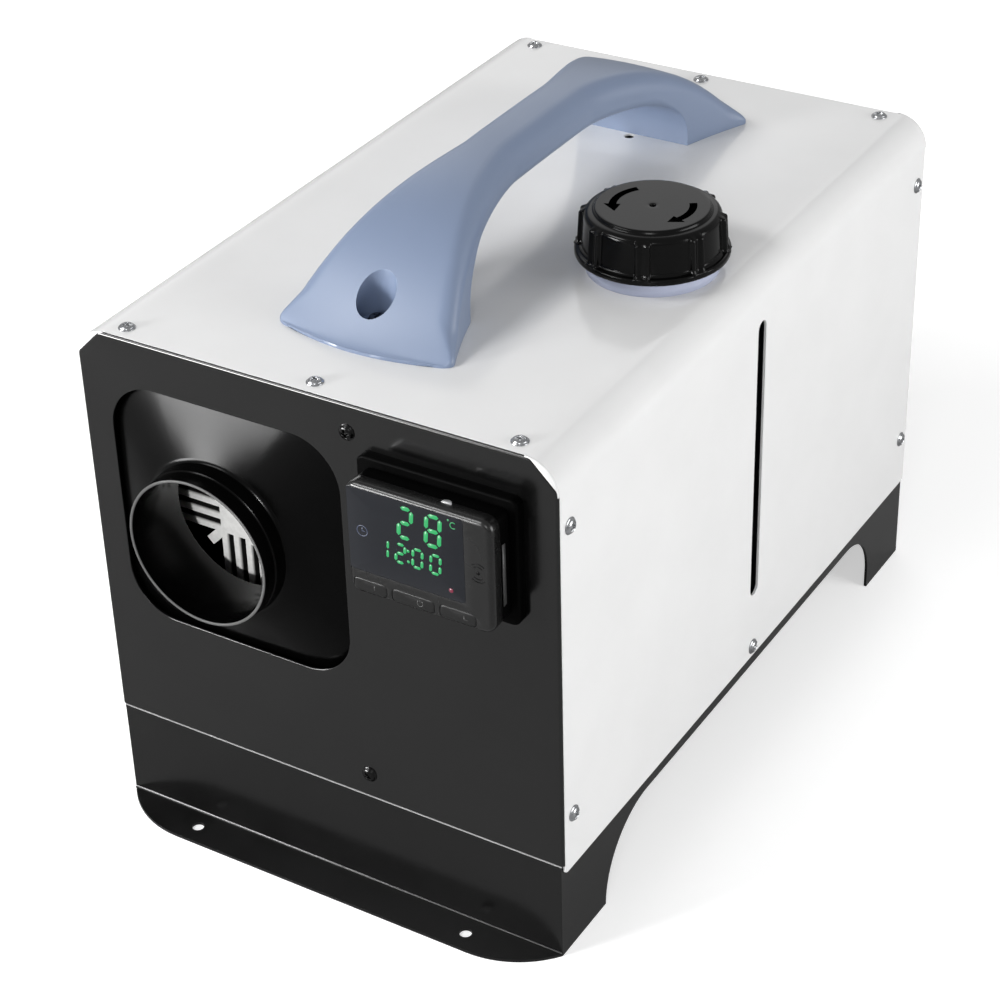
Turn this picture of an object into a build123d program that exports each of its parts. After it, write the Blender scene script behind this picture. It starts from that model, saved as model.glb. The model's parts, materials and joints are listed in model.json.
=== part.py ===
"""Portable diesel air heater in a sheet-steel cabinet, as separate named pieces.

Millimetres. X runs to the right as seen from the front, Y runs to the back and Z runs up.
The origin is on the floor, at the centre of the four holes in the base flanges.
"""
from build123d import *
from math import cos, pi, sin, sqrt
import os

# ---- cabinet -------------------------------------------------------------------------
CABINET_WIDTH = 250.0
CABINET_DEPTH = 380.0
COVER_TOP = 266.0
COVER_SKIRT = 49.0            # lower edge of the cover above the floor
COVER_SHEET = 1.2
COVER_BEND = 16.0             # outer radius of the two long top bends
COVER_CORNER = 4.0            # small round at the lower corners of the sides
COVER_GAP = 0.3               # between the cover and what stands inside it
PANEL_SHEET = 1.5             # panels, base and divider
PANEL_CHAMFER = 12.5          # cut top corners of the end panels
PANEL_FLANGE = 18.0           # depth of the returns that the cover screws hold
SEAM_HEIGHT = 53.6            # lower edge of the end panels
SEAM_GAP = 0.2
TONGUE_BELOW = 9.0            # the panel's tongue, below and above its seam with the base
TONGUE_ABOVE = 6.0

# ---- base ----------------------------------------------------------------------------
DECK_HEIGHT = 41.0            # underside of the deck, level with the skirts' lower edge
WALL_RISE = 62.0              # top of the base's side walls, inside the cover
FOOT_DEPTH = 41.0             # length of each foot along the side
FRONT_FOOT_ARC = 41.0
REAR_FOOT_ARC = 30.0
FLANGE_REACH = 20.0
FLANGE_CORNER = 50.0
FLANGE_HOLE = 3.0             # radius
FLANGE_HOLE_SPACING = 154.6
FLANGE_HOLE_INSET = 10.0      # from the panel face out to the hole's centre
PIPE_PASSAGE = 2.0            # deck hole round each pipe

# ---- cover details -------------------------------------------------------------------
SLOT_WIDTH = 8.4
SLOT_RISE = 37.5              # lower end of the slot above the cover's lower edge
SLOT_DROP = 25.5              # upper end of the slot below the cover's top
VENT_HOLE = 2.75              # radius of the small hole beside the handle's rear foot
VENT_HOLE_Y = 101.4

# ---- screws --------------------------------------------------------------------------
SCREW_INSET = 9.0             # from the cabinet's front and rear edges
TOP_SCREW_INSET = 23.0        # outer top screws, from the cabinet's sides
SIDE_SCREW_DROP = 34.0        # upper side screws below the cover's top
SIDE_SCREW_RISE = 30.0        # lower side screws above the cover's lower edge
MID_SCREW_RISE = 6.0          # middle side screws above the cover's lower edge
SCREW_HEAD = 4.0              # radius
SCREW_HEAD_HEIGHT = 2.2
SCREW_SHANK = 1.95            # radius
SCREW_LENGTH = 6.0
SCREW_CLEARANCE = 0.3
NUT_CLEARANCE = 0.1
NUT_RADIUS = 4.0
NUT_HEIGHT = 3.0
NUT_RELIEF = 2.0              # cut-out round a nut
PANEL_SCREW_INSET = 6.5       # panel screws, left of the divider
PANEL_SCREW_DROP = 14.0       # upper panel screws below the cover's top
PANEL_SCREW_RISE = 12.9       # lower panel screws above the seam

# ---- heater core ---------------------------------------------------------------------
CASE_HALF_WIDTH = 67.0
CASE_HALF_HEIGHT = 70.0
CASE_CORNER = 30.0
CASE_WALL = 2.5
CASE_SIDE_GAP = 6.5           # case to the cabinet's left wall
CASE_ROOF_GAP = 15.5          # case to the underside of the cover
CASE_REAR = 150.0             # rear end of the case along Y
HOOD_SKIRT = 18.0             # straight part of the hood, behind its dome
HOOD_DOME = 12.4              # from the skirt's edge forward to the collar's root
OUTLET_RADIUS = 37.5
OUTLET_WALL = 1.5
OUTLET_REACH = 22.0           # rim in front of the panel face
OUTLET_STEP = 8.3             # narrow part of the collar, from the rim back
OUTLET_STEP_HEIGHT = 0.6
OUTLET_COLLAR = 15.6          # rim back to the root of the dome
OUTLET_TUBE = 35.0            # rim back to the tube's inner end
OPENING_LEFT_REACH = 59.0     # the front panel's window, from the core's axis
OPENING_RIGHT_REACH = 65.5
OPENING_DROP = 62.0
OPENING_RISE = 63.5
OPENING_CORNER = 25.0

EXCHANGER_FRONT = -148.0
EXCHANGER_REAR = 44.0
EXCHANGER_RADIUS = 43.0
EXCHANGER_WALL = 5.0
FIN_THICKNESS = 3.0
FIN_PITCH = 7.0
FINS_EACH_SIDE = 5            # besides the middle one
FIN_GAP = 3.5                 # fin tip to the inside of the case
FIN_REAR = 36.0
FIN_ROOT = 2.0                # how deep a fin or the foot is rooted in the body
STUB_THICKNESS = 5.0
STUB_REACH = 62.0             # from the axis to the diagonal stub's tip
EXCHANGER_FOOT_HALF = 34.0
EXCHANGER_FOOT_FRONT = -8.0
EXCHANGER_FOOT_REAR = 42.0
FOOT_PASSAGE = 1.0            # opening in the case round the foot

BURNER_RADIUS = 30.0
BURNER_WALL = 1.5
BURNER_FRONT = -70.0
BURNER_FLANGE = 3.0
PLUG_RADIUS = 4.8
PLUG_Y = 34.0
PLUG_LOW = 26.0               # from the axis up
PLUG_HIGH = 60.0
PLUG_HEX = 7.0
PLUG_HEX_HEIGHT = 8.0
PLUG_HEX_CLEARANCE = 3.0
PLUG_PIN = 2.0

HOUSING_REAR = 112.0
HOUSING_WALL = 4.0
MOTOR_RADIUS = 24.0
MOTOR_LENGTH = 42.0
MOTOR_EDGE = 3.0
SHAFT_RADIUS = 3.0
SHAFT_PASSAGE = 2.0           # hole in the housing round the shaft
RUNNING_FIT = 0.05
SHAFT_FRONT = 50.0
SHAFT_REAR = 148.0
COMBUSTION_FAN_RADIUS = 34.0
COMBUSTION_FAN_DEPTH = 10.0
COMBUSTION_FAN_BLADES = 12
COMBUSTION_FAN_DISC = 2.0
COMBUSTION_FAN_HUB = 7.0
COMBUSTION_BLADE = 1.5
WARM_FAN_RADIUS = 54.0
WARM_FAN_HUB = 20.0
WARM_FAN_DEPTH = 26.0
WARM_FAN_BLADES = 7
WARM_FAN_PITCH = 35.0         # degrees
WARM_FAN_INSET = 2.0          # from the shaft's rear end
WARM_BLADE = 2.0
WARM_BLADE_ROOT = 3.0
INLET_RADIUS = 57.0
INLET_WALL = 2.5

MODULE_WIDTH = 70.0
MODULE_LENGTH = 54.0
MODULE_HEIGHT = 17.0
MODULE_Y = 82.0
MODULE_ROOF_GAP = 3.5         # module to the inside of the case
MODULE_CORNER = 2.0

SHELF_GAP = 3.5               # between the shelf and the case above it
SHELF_HALF_LENGTH = 120.0
SHELF_SIDE_GAP = 1.5
SHELF_PASSAGE = 1.0           # holes in the shelf round what goes through it
GASKET_THICKNESS = 2.5
GASKET_PASSAGE = 0.5
STUD_RADIUS = 3.0
STUD_X = 29.0                 # from the core's axis
STUD_INSET = 5.0
STUD_INSERT = 14.0            # up into the foot
STUD_END = 4.0                # below the nut
STUD_NUT = 5.5
STUD_NUT_HEIGHT = 5.0
PIPE_Y = 17.0
PIPE_X = 16.0                 # exhaust to the left of the core's axis, air intake to the right
PIPE_CLEARANCE = 0.2
PIPE_WALL = 1.2
EXHAUST_RADIUS = 12.0         # at the spigot
AIR_PIPE_RADIUS = 10.0        # at the spigot
PIPE_STEP = 0.6               # a pipe is that much wider above its spigot
SPIGOT_LENGTH = 24.0
PIPE_END = 14.0               # height of the pipes' open ends
PIPE_INSERT = 12.0

# ---- divider and tank ----------------------------------------------------------------
DIVIDER_GAP = 11.0            # case to the divider
DIVIDER_DROP = 14.5           # divider's top edge below the inside of the cover
DIVIDER_FLANGE = 10.0
DIVIDER_NOTCH = 7.0           # height above the seam of the notch for the panel's tongue
DIVIDER_NOTCH_GAP = 3.0
TANK_DIVIDER_GAP = 2.5
TANK_SIDE_GAP = 5.5
TANK_ROOF_GAP = 16.5
TANK_FRONT = -150.0
TANK_REAR = 105.0
TANK_WALL = 3.0
TANK_CORNER = 12.0
PAD_HEIGHT = 5.5
PAD_RADIUS = 9.0
PAD_INSET = 22.0
STRAP_Y = 60.0
STRAP_WIDTH = 20.0
STRAP_SHEET = 1.0
STRAP_GAP = 0.3

# ---- filler --------------------------------------------------------------------------
FILLER_OFFSET = 2.0           # to the right of the tank's middle
FILLER_Y = -18.5
NECK_RADIUS = 26.0
NECK_WALL = 3.0
NECK_RISE = 22.0              # neck's rim above the cover
NECK_RIB = 1.6                # height of the two thread ribs on the neck
NECK_RIB_WIDTH = 2.0
NECK_RIB_RISES = (3.0, 8.0)   # above the cap's lower edge
NECK_CLEARANCE = 0.5
COLLAR_RADIUS = 31.0
COLLAR_HEIGHT = 7.0
COLLAR_BARREL = 29.0
COLLAR_EDGE = 1.2
CAP_LIP_RADIUS = 36.0
CAP_LIP_HEIGHT = 3.0
CAP_LIFT_GAP = 1.0            # cap's lower edge above the collar
CAP_HEIGHT = 23.0
CAP_BODY_RADIUS = 32.5
CAP_EDGE = 2.0
CAP_BORE = 28.6
CAP_LUGS = 8
CAP_LUG_RADIUS = 3.0
CAP_LUG_INSET = 1.0           # lug's axis inside the body's radius
CAP_LUG_DROP = 2.5            # lug's top below the cap's top
CAP_DISC_RADIUS = 27.0
CAP_DISC_DEPTH = 0.8
CAP_GROOVE = 1.5
CAP_VENT = 1.2                # radius
GASKET_HEIGHT = 3.0
GASKET_OVERHANG = 1.0
BREATHER_RADIUS = 8.0
BREATHER_HEIGHT = 7.0

# ---- handle --------------------------------------------------------------------------
HANDLE_RISE = 54.0            # highest point above the cover
HANDLE_END = 152.6            # from the middle out to the foot's outer edge
HANDLE_INNER = 104.5          # from the middle out to the foot's inner face
HANDLE_BOW = 6.6              # how far the foot's outer edge bows
HANDLE_FOOT_HALF = 43.6
HANDLE_GRIP_HALF = 17.5
HAND_GAP_HEIGHT = 36.5        # cover to the underside of the grip
HANDLE_LEVEL = 60.0           # from the middle out, where the crown starts to drop
HANDLE_RUNOUT = 176.0         # from the middle out, where its curve would level out again
HANDLE_DROP = 57.5
HANDLE_FLARE_START = 30.0
HANDLE_FLARE_END = 137.0
HANDLE_CROWN_RISE = 6.0
HANDLE_LIP = 1.2              # upright edge round the foot
COUNTERBORE = 9.3             # radius
COUNTERBORE_Y = 131.0
COUNTERBORE_SEAT = 5.0        # floor of the counterbore above the cover
HANDLE_SCREW_HEAD = 4.5
HANDLE_SCREW_HEAD_HEIGHT = 3.6
HANDLE_SCREW_SHANK = 2.4
HANDLE_SCREW_LENGTH = 13.0
HANDLE_NUT_RADIUS = 6.0
HANDLE_NUT_HEIGHT = 4.0

# ---- controller ----------------------------------------------------------------------
CONTROL_GAP = 16.8            # from the window of the front panel
CONTROL_DROP = 51.6           # its middle below the cover's top
CONTROL_WIDTH = 72.4
CONTROL_HEIGHT = 56.0
CONTROL_PROUD = 20.0          # front face in front of the panel
CONTROL_FRONT_DEPTH = 7.0
CONTROL_FACE = 2.6            # thickness of the face
CONTROL_EDGE = 1.6
CONTROL_BACK_INSET = 0.7
CRADLE_DEPTH = 5.0
CRADLE_MARGIN = 3.6
CRADLE_EDGE = 1.2
CONTROL_CORNER = 4.0
CONTROL_WALL = 2.0
GLASS_SPAN = (-35.2, 22.7)    # along X, from the controller's middle
GLASS_RANGE = (-15.8, 26.2)   # along Z, from the controller's middle
GLASS_THICKNESS = 1.0
GLASS_GAP = 0.1
WINDOW_MARGIN = 3.0
BUTTON_RANGE = (-26.4, -20.1)
BUTTON_SPANS = ((-34.0, -17.1), (-14.5, 6.9), (9.5, 27.5))
BUTTON_PROUD = 0.4
BUTTON_THICKNESS = 1.4
BUTTON_STEM = 1.5
BUTTON_GAP = 0.3
BUTTON_STROKE = 0.8
BUTTON_SWITCH_GAP = 0.1       # left under a key that is pressed home
BOARD_THICKNESS = 1.6
BOARD_GAP = 0.3

# ---- rear panel ----------------------------------------------------------------------
GRILLE_RADIUS = 62.0
GRILLE_PROUD = 3.0
GRILLE_BAR = 2.0
GRILLE_RIM = 4.0              # how far the rim covers the inlet
GRILLE_RINGS = 4
GRILLE_SPOKES = 6
GLAND_INSET = 39.5            # from the inside of the cabinet's right wall
GLAND_RISE = 26.4             # above the seam
GLAND_RADIUS = 9.0
GLAND_EDGE = 2.0
GLAND_REACH = 12.0
GLAND_THREAD = 6.0
GLAND_THREAD_LENGTH = 6.0
GLAND_NUT_HEIGHT = 4.0
GLAND_BORE = 3.5

# ---- fuel line -----------------------------------------------------------------------
NIPPLE_RADIUS = 2.5
NIPPLE_BORE = 1.2
NIPPLE_LENGTH = 12.0          # at the tank and the pump
NIPPLE_ROOT = 6.0             # how deep the tank's nipple is rooted
NIPPLE_INSERT = 6.0           # core's nipple, up into the foot
HOSE_GAP = 0.1
HOSE_RADIUS = 4.2
HOSE_BEND = 8.0
HOSE_LAP = 7.0                # how far a hose reaches over its nipple
HOSE_WALL_GAP = 0.3           # pump hose to the inside of the cabinet's wall
HOSE_CORE_DROP = 8.0          # upper end of the core's hose below the shelf
OUTLET_HOSE_RUN = 15.0        # tank's outlet to the filter
OUTLET_RISE = 12.0            # tank's outlet above its floor
FILTER_HOSE_RUN = 16.0        # filter out to the rising hose
FILTER_RADIUS = 9.0
FILTER_LENGTH = 28.0
FILTER_NIPPLE = 8.0
FILTER_EDGE = 2.0
PUMP_HOSE_DROP = 22.0         # hose's run below the pump
PUMP_HOSE_RISE = 32.0         # hose's run above the pump
PUMP_INSET = 33.5             # from the inside of the cabinet's right wall
PUMP_Y = 148.0
PUMP_LOW = 104.0
PUMP_HIGH = 190.0
PUMP_RADIUS = 14.0
PUMP_EDGE = 1.5
PUMP_BORE_LOW = 118.0
PUMP_BORE_HIGH = 176.0
PLUNGER_RADIUS = 5.0
PLUNGER_LENGTH = 30.0
SPRING_RADIUS = 3.6
SPRING_WIRE = 0.5             # radius
SPRING_TURNS = 9
SPRING_SEAT = 0.1
CLIP_HEIGHT = 14.0
CLIP_WALL = 3.0
CLIP_TAB = 7.0                # half-width
FUEL_LINE_INSET = 17.0        # delivery hose's drop, right of the divider
FUEL_LINE_BACK = 22.5         # delivery hose in front of the rear panel
FUEL_LINE_DROP = 2.0          # its run, below the middle of the space under the shelf
CLAMP_WALL = 1.0
CLAMP_WIDTH = 5.0
CLAMP_INSET = 1.0             # from the hose's end

# ---- wiring --------------------------------------------------------------------------
LOOM_RADIUS = 3.0
LOOM_OFFSET = 20.0            # right of the core's axis
LOOM_RISE = 13.0              # above the module
LOOM_Y = -168.0
LOOM_PASSAGE = 2.0

# ---- derived places ------------------------------------------------------------------
half_width = CABINET_WIDTH / 2
front_y = -CABINET_DEPTH / 2
rear_y = CABINET_DEPTH / 2
inner_half = half_width - COVER_SHEET - COVER_GAP
inner_top = COVER_TOP - COVER_SHEET - COVER_GAP
front_inner = front_y + PANEL_SHEET
rear_inner = rear_y - PANEL_SHEET
deck_top = DECK_HEIGHT + PANEL_SHEET

core_x = -inner_half + CASE_SIDE_GAP + CASE_HALF_WIDTH
core_z = inner_top - CASE_ROOF_GAP - CASE_HALF_HEIGHT
opening_left = core_x - OPENING_LEFT_REACH
opening_right = core_x + OPENING_RIGHT_REACH
opening_low = core_z - OPENING_DROP
opening_high = core_z + OPENING_RISE
collar_rim = front_y - OUTLET_REACH
collar_root = collar_rim + OUTLET_COLLAR
hood_edge = collar_root + HOOD_DOME
case_front = hood_edge + HOOD_SKIRT
case_low = core_z - CASE_HALF_HEIGHT
case_high = core_z + CASE_HALF_HEIGHT
shelf_top = case_low - SHELF_GAP
shelf_left = -inner_half + PANEL_SHEET + SHELF_SIDE_GAP
foot_seat = shelf_top + GASKET_THICKNESS
exhaust_x = core_x - PIPE_X
air_x = core_x + PIPE_X
housing_front = EXCHANGER_REAR + BURNER_FLANGE
module_top = case_high - CASE_WALL - MODULE_ROOF_GAP
module_seat = module_top - MODULE_HEIGHT
loom_x = core_x + LOOM_OFFSET
loom_height = module_top + LOOM_RISE

divider_x = core_x + CASE_HALF_WIDTH + DIVIDER_GAP
divider_top = inner_top - DIVIDER_DROP
tank_left = divider_x + PANEL_SHEET + TANK_DIVIDER_GAP
tank_right = inner_half - TANK_SIDE_GAP
tank_low = deck_top + PAD_HEIGHT
tank_top = inner_top - TANK_ROOF_GAP
filler_x = (tank_left + tank_right) / 2 + FILLER_OFFSET
neck_top = COVER_TOP + NECK_RISE
cap_low = COVER_TOP + COLLAR_HEIGHT + CAP_LIFT_GAP
cap_top = cap_low + CAP_HEIGHT
cap_ceiling = neck_top + GASKET_HEIGHT

top_screw_x = half_width - TOP_SCREW_INSET
side_screw_high = COVER_TOP - SIDE_SCREW_DROP
side_screw_low = COVER_SKIRT + SIDE_SCREW_RISE
mid_screw_height = COVER_SKIRT + MID_SCREW_RISE
panel_screw_x = divider_x - PANEL_SCREW_INSET
panel_screw_high = COVER_TOP - PANEL_SCREW_DROP
panel_screw_low = SEAM_HEIGHT + PANEL_SCREW_RISE
slot_low = COVER_SKIRT + SLOT_RISE
slot_high = COVER_TOP - SLOT_DROP
handle_top = COVER_TOP + HANDLE_RISE
counterbore_floor = COVER_TOP + COUNTERBORE_SEAT

control_x = opening_right + CONTROL_GAP + CONTROL_WIDTH / 2
control_z = COVER_TOP - CONTROL_DROP
control_front = front_y - CONTROL_PROUD
control_split = control_front + CONTROL_FRONT_DEPTH
cradle_front = front_y - CRADLE_DEPTH
glass_left = control_x + GLASS_SPAN[0]
glass_right = control_x + GLASS_SPAN[1]
glass_low = control_z + GLASS_RANGE[0]
glass_high = control_z + GLASS_RANGE[1]
button_low = control_z + BUTTON_RANGE[0]
button_high = control_z + BUTTON_RANGE[1]

gland_x = inner_half - GLAND_INSET
gland_z = SEAM_HEIGHT + GLAND_RISE
hose_bore = NIPPLE_RADIUS + HOSE_GAP
pump_x = inner_half - PUMP_INSET
pump_hose_x = inner_half - HOSE_WALL_GAP - HOSE_RADIUS
filter_right = pump_hose_x - FILTER_HOSE_RUN
filter_left = filter_right - FILTER_LENGTH
outlet_x = filter_left - OUTLET_HOSE_RUN
outlet_z = tank_low + OUTLET_RISE
fuel_line_x = divider_x + FUEL_LINE_INSET
fuel_line_y = rear_inner - FUEL_LINE_BACK
fuel_line_z = (deck_top + shelf_top) / 2 - FUEL_LINE_DROP
core_hose_top = shelf_top - HOSE_CORE_DROP


# ---- small builders ------------------------------------------------------------------
def slab(x_low, x_high, y_low, y_high, z_low, z_high):
    """Box between six planes."""
    middle = Pos((x_low + x_high) / 2, (y_low + y_high) / 2, (z_low + z_high) / 2)
    return middle * Box(x_high - x_low, y_high - y_low, z_high - z_low)


def rod_x(radius, x_low, x_high, y, z):
    """Cylinder along X."""
    return Pos((x_low + x_high) / 2, y, z) * Cylinder(radius, x_high - x_low, rotation=(0, 90, 0))


def rod_y(radius, y_low, y_high, x, z):
    """Cylinder along Y."""
    return Pos(x, (y_low + y_high) / 2, z) * Cylinder(radius, y_high - y_low, rotation=(90, 0, 0))


def rod_z(radius, z_low, z_high, x, y):
    """Cylinder along Z."""
    return Pos(x, y, (z_low + z_high) / 2) * Cylinder(radius, z_high - z_low)


def arch_block(half, y_low, y_high, z_low, z_high, bend):
    """Block whose two long top edges are rounded."""
    block = slab(-half, half, y_low, y_high, z_low, z_high)
    return fillet(block.edges().filter_by(Axis.Y).group_by(Axis.Z)[-1], bend)


def core_block(shrink, y_low, y_high):
    """Rounded block round the core's axis, drawn in by shrink from the case's outside."""
    half_x = CASE_HALF_WIDTH - shrink
    half_z = CASE_HALF_HEIGHT - shrink
    block = slab(core_x - half_x, core_x + half_x, y_low, y_high, core_z - half_z, core_z + half_z)
    return fillet(block.edges().filter_by(Axis.Y), CASE_CORNER - shrink)


def rounded_plate(x_low, x_high, y_low, y_high, z_low, z_high, corner):
    """Plate facing the front with four rounded corners."""
    plate = slab(x_low, x_high, y_low, y_high, z_low, z_high)
    return fillet(plate.edges().filter_by(Axis.Y), corner)


def group(pieces):
    """One node made of several separate solids."""
    return Compound([solid for piece in pieces for solid in piece.solids()])


def pan_screw(head, head_height, shank, length):
    """Pan-head screw with a cross recess, its head standing up from Z = 0."""
    top = Pos(0, 0, head_height / 2) * Cylinder(head, head_height)
    top = fillet(top.edges().filter_by(GeomType.CIRCLE).group_by(Axis.Z)[-1], head_height * 0.6)
    recess = Box(head * 1.1, head * 0.26, head_height) + Box(head * 0.26, head * 1.1, head_height)
    return top - Pos(0, 0, head_height) * recess + Pos(0, 0, -length / 2) * Cylinder(shank, length)


def tube_path(points, bend):
    """Straight runs joined by tangent arcs."""
    return FilletPolyline(*points, radius=bend)


def swept_tube(points, bend, outer, inner):
    """Tube, or a solid rod where inner is zero, along straight runs and arcs."""
    path = tube_path(points, bend)
    section = Circle(outer) if inner == 0 else Circle(outer) - Circle(inner)
    return sweep(Plane(origin=path @ 0, z_dir=path % 0) * section, path=path)


# ---- places of the fasteners ---------------------------------------------------------
def cover_screw_places():
    """Where each cover screw's head meets the cover, with Z out of the sheet."""
    places = []
    for end in (-1, 1):
        y = end * (rear_y - SCREW_INSET)
        for x in (-top_screw_x, 0, top_screw_x):
            places.append(Pos(x, y, COVER_TOP))
        for side in (-1, 1):
            for z in (side_screw_low, side_screw_high):
                places.append(Pos(side * half_width, y, z) * Rot(0, side * 90, 0))
    for side in (-1, 1):
        places.append(Pos(side * half_width, 0, mid_screw_height) * Rot(0, side * 90, 0))
    return places


def panel_screw_places():
    """Where each black panel screw's head meets an end panel."""
    places = []
    for end in (-1, 1):
        for z in (panel_screw_low, panel_screw_high):
            places.append(Pos(panel_screw_x, end * rear_y, z) * Rot(-end * 90, 0, 0))
    return places


def drilled(piece, places, radius):
    """Cut a screw's clearance hole at each place."""
    reach = COVER_SHEET + COVER_GAP + 2 * PANEL_SHEET + 2
    for place in places:
        piece -= place * Cylinder(radius, 2 * reach)
    return piece


# ---- cabinet -------------------------------------------------------------------------
def cover():
    """Bent sheet over the top and both sides."""
    sheet = arch_block(half_width, front_y, rear_y, COVER_SKIRT, COVER_TOP, COVER_BEND)
    sheet -= arch_block(
        half_width - COVER_SHEET, front_y - 1, rear_y + 1, COVER_SKIRT - 1,
        COVER_TOP - COVER_SHEET, COVER_BEND - COVER_SHEET,
    )
    sheet = fillet(sheet.edges().filter_by(Axis.X).group_by(Axis.Z)[0], COVER_CORNER)
    slot_half = SLOT_WIDTH / 2
    slot_x = half_width - COVER_SHEET - 1
    sheet -= slab(slot_x, half_width + 1, -slot_half, slot_half, slot_low + slot_half, slot_high - slot_half)
    for z in (slot_low + slot_half, slot_high - slot_half):
        sheet -= rod_x(slot_half, slot_x, half_width + 1, 0, z)
    roof = COVER_TOP - COVER_SHEET - 1
    sheet -= rod_z(VENT_HOLE, roof, COVER_TOP + 1, 0, VENT_HOLE_Y)
    sheet -= rod_z(COLLAR_BARREL + COVER_GAP, roof, COVER_TOP + 1, filler_x, FILLER_Y)
    for end in (-1, 1):
        hole = HANDLE_SCREW_SHANK + SCREW_CLEARANCE
        sheet -= rod_z(hole, roof, COVER_TOP + 1, 0, end * COUNTERBORE_Y)
    return drilled(sheet, cover_screw_places(), SCREW_SHANK + SCREW_CLEARANCE)


def end_panel():
    """Front panel blank: face plate, three returns and a tongue behind the base's wall."""
    face = slab(-inner_half, inner_half, front_y, front_inner, SEAM_HEIGHT, inner_top)
    face = chamfer(face.edges().filter_by(Axis.Y).group_by(Axis.Z)[-1], PANEL_CHAMFER)
    return_end = front_y + PANEL_FLANGE
    side_top = inner_top - PANEL_CHAMFER - 1
    for side in (-1, 1):
        x_low, x_high = sorted((side * inner_half, side * (inner_half - PANEL_SHEET)))
        face += slab(x_low, x_high, front_y, return_end, SEAM_HEIGHT + 2, side_top)
    top_half = inner_half - PANEL_CHAMFER - 1
    face += slab(-top_half, top_half, front_y, return_end, inner_top - PANEL_SHEET, inner_top)
    tongue_half = inner_half - PANEL_CHAMFER
    tongue_y = front_inner + PANEL_SHEET
    tongue_low = SEAM_HEIGHT - TONGUE_BELOW
    face += slab(-tongue_half, tongue_half, front_inner, tongue_y, tongue_low, SEAM_HEIGHT + TONGUE_ABOVE)
    return face


def front_panel():
    """Black front panel with the window for the outlet hood."""
    panel = end_panel()
    panel -= rounded_plate(
        opening_left, opening_right, front_y - 1, front_inner + 1,
        opening_low, opening_high, OPENING_CORNER,
    )
    panel -= rod_y(LOOM_RADIUS + LOOM_PASSAGE, front_y - 1, front_inner + 1, control_x, control_z)
    panel = drilled(panel, cover_screw_places(), SCREW_SHANK + SCREW_CLEARANCE)
    return drilled(panel, panel_screw_places(), SCREW_SHANK + SCREW_CLEARANCE)


def rear_panel():
    """Black rear panel with the air inlet and the hole for the power gland."""
    panel = mirror(end_panel(), about=Plane.XZ)
    panel -= rod_y(INLET_RADIUS + COVER_GAP, rear_inner - 1, rear_y + 1, core_x, core_z)
    panel -= rod_y(GLAND_THREAD + COVER_GAP, rear_inner - 1, rear_y + 1, gland_x, gland_z)
    panel = drilled(panel, cover_screw_places(), SCREW_SHANK + SCREW_CLEARANCE)
    return drilled(panel, panel_screw_places(), SCREW_SHANK + SCREW_CLEARANCE)


def foot_profile(end, arc):
    """Material of one foot on both sides, with its concave arc, as a block across the cabinet."""
    tip = end * rear_y
    inner = tip - end * FOOT_DEPTH
    far = inner - end * arc
    foot = slab(-half_width, half_width, min(tip, far), max(tip, far), 0, DECK_HEIGHT)
    foot -= rod_x(arc, -half_width - 1, half_width + 1, far, DECK_HEIGHT - arc)
    straight = DECK_HEIGHT - arc
    if straight > 0.01:
        foot -= slab(-half_width - 1, half_width + 1, min(inner, far), max(inner, far), -1, straight)
    return foot


def base_flange(end):
    """Outward foot flange with its two large corner arcs and two holes."""
    wall = end * rear_y
    lip = end * (rear_y + FLANGE_REACH)
    blank = slab(-inner_half, inner_half, min(wall, lip), max(wall, lip), 0, PANEL_SHEET)
    rise = FLANGE_CORNER - FLANGE_REACH
    arc_x = inner_half - sqrt(FLANGE_CORNER**2 - rise**2)
    arc_y = lip - end * FLANGE_CORNER
    keep = slab(-arc_x, arc_x, min(arc_y, lip), max(arc_y, lip), -1, PANEL_SHEET + 1)
    for side in (-1, 1):
        keep += rod_z(FLANGE_CORNER, -1, PANEL_SHEET + 1, side * arc_x, arc_y)
    flange = blank & keep
    for side in (-1, 1):
        x = side * FLANGE_HOLE_SPACING / 2
        flange -= rod_z(FLANGE_HOLE, -1, PANEL_SHEET + 1, x, wall + end * FLANGE_HOLE_INSET)
    return flange


def base_frame():
    """Black base: deck, end walls, side walls with feet, and the two bolting flanges."""
    frame = slab(-inner_half, inner_half, front_y, rear_y, DECK_HEIGHT, deck_top)
    wall_top = SEAM_HEIGHT - SEAM_GAP
    skin = slab(-inner_half, inner_half, front_y, rear_y, -1, WALL_RISE + 1)
    skin -= slab(-inner_half + PANEL_SHEET, inner_half - PANEL_SHEET, front_y, rear_y, -2, WALL_RISE + 2)
    sides = slab(-half_width, half_width, front_y, rear_y, DECK_HEIGHT, wall_top)
    rise_half = rear_y - PANEL_FLANGE - 4
    sides += slab(-half_width, half_width, -rise_half, rise_half, DECK_HEIGHT, WALL_RISE)
    sides += foot_profile(-1, FRONT_FOOT_ARC) + foot_profile(1, REAR_FOOT_ARC)
    frame += skin & sides
    for end in (-1, 1):
        outer = end * rear_y
        inner = end * rear_inner
        frame += slab(-inner_half, inner_half, min(outer, inner), max(outer, inner), 0, wall_top)
        frame += base_flange(end)
    frame -= rod_z(EXHAUST_RADIUS + PIPE_PASSAGE, DECK_HEIGHT - 1, deck_top + 1, exhaust_x, PIPE_Y)
    frame -= rod_z(AIR_PIPE_RADIUS + PIPE_PASSAGE, DECK_HEIGHT - 1, deck_top + 1, air_x, PIPE_Y)
    return drilled(frame, cover_screw_places(), SCREW_SHANK + SCREW_CLEARANCE)


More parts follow.
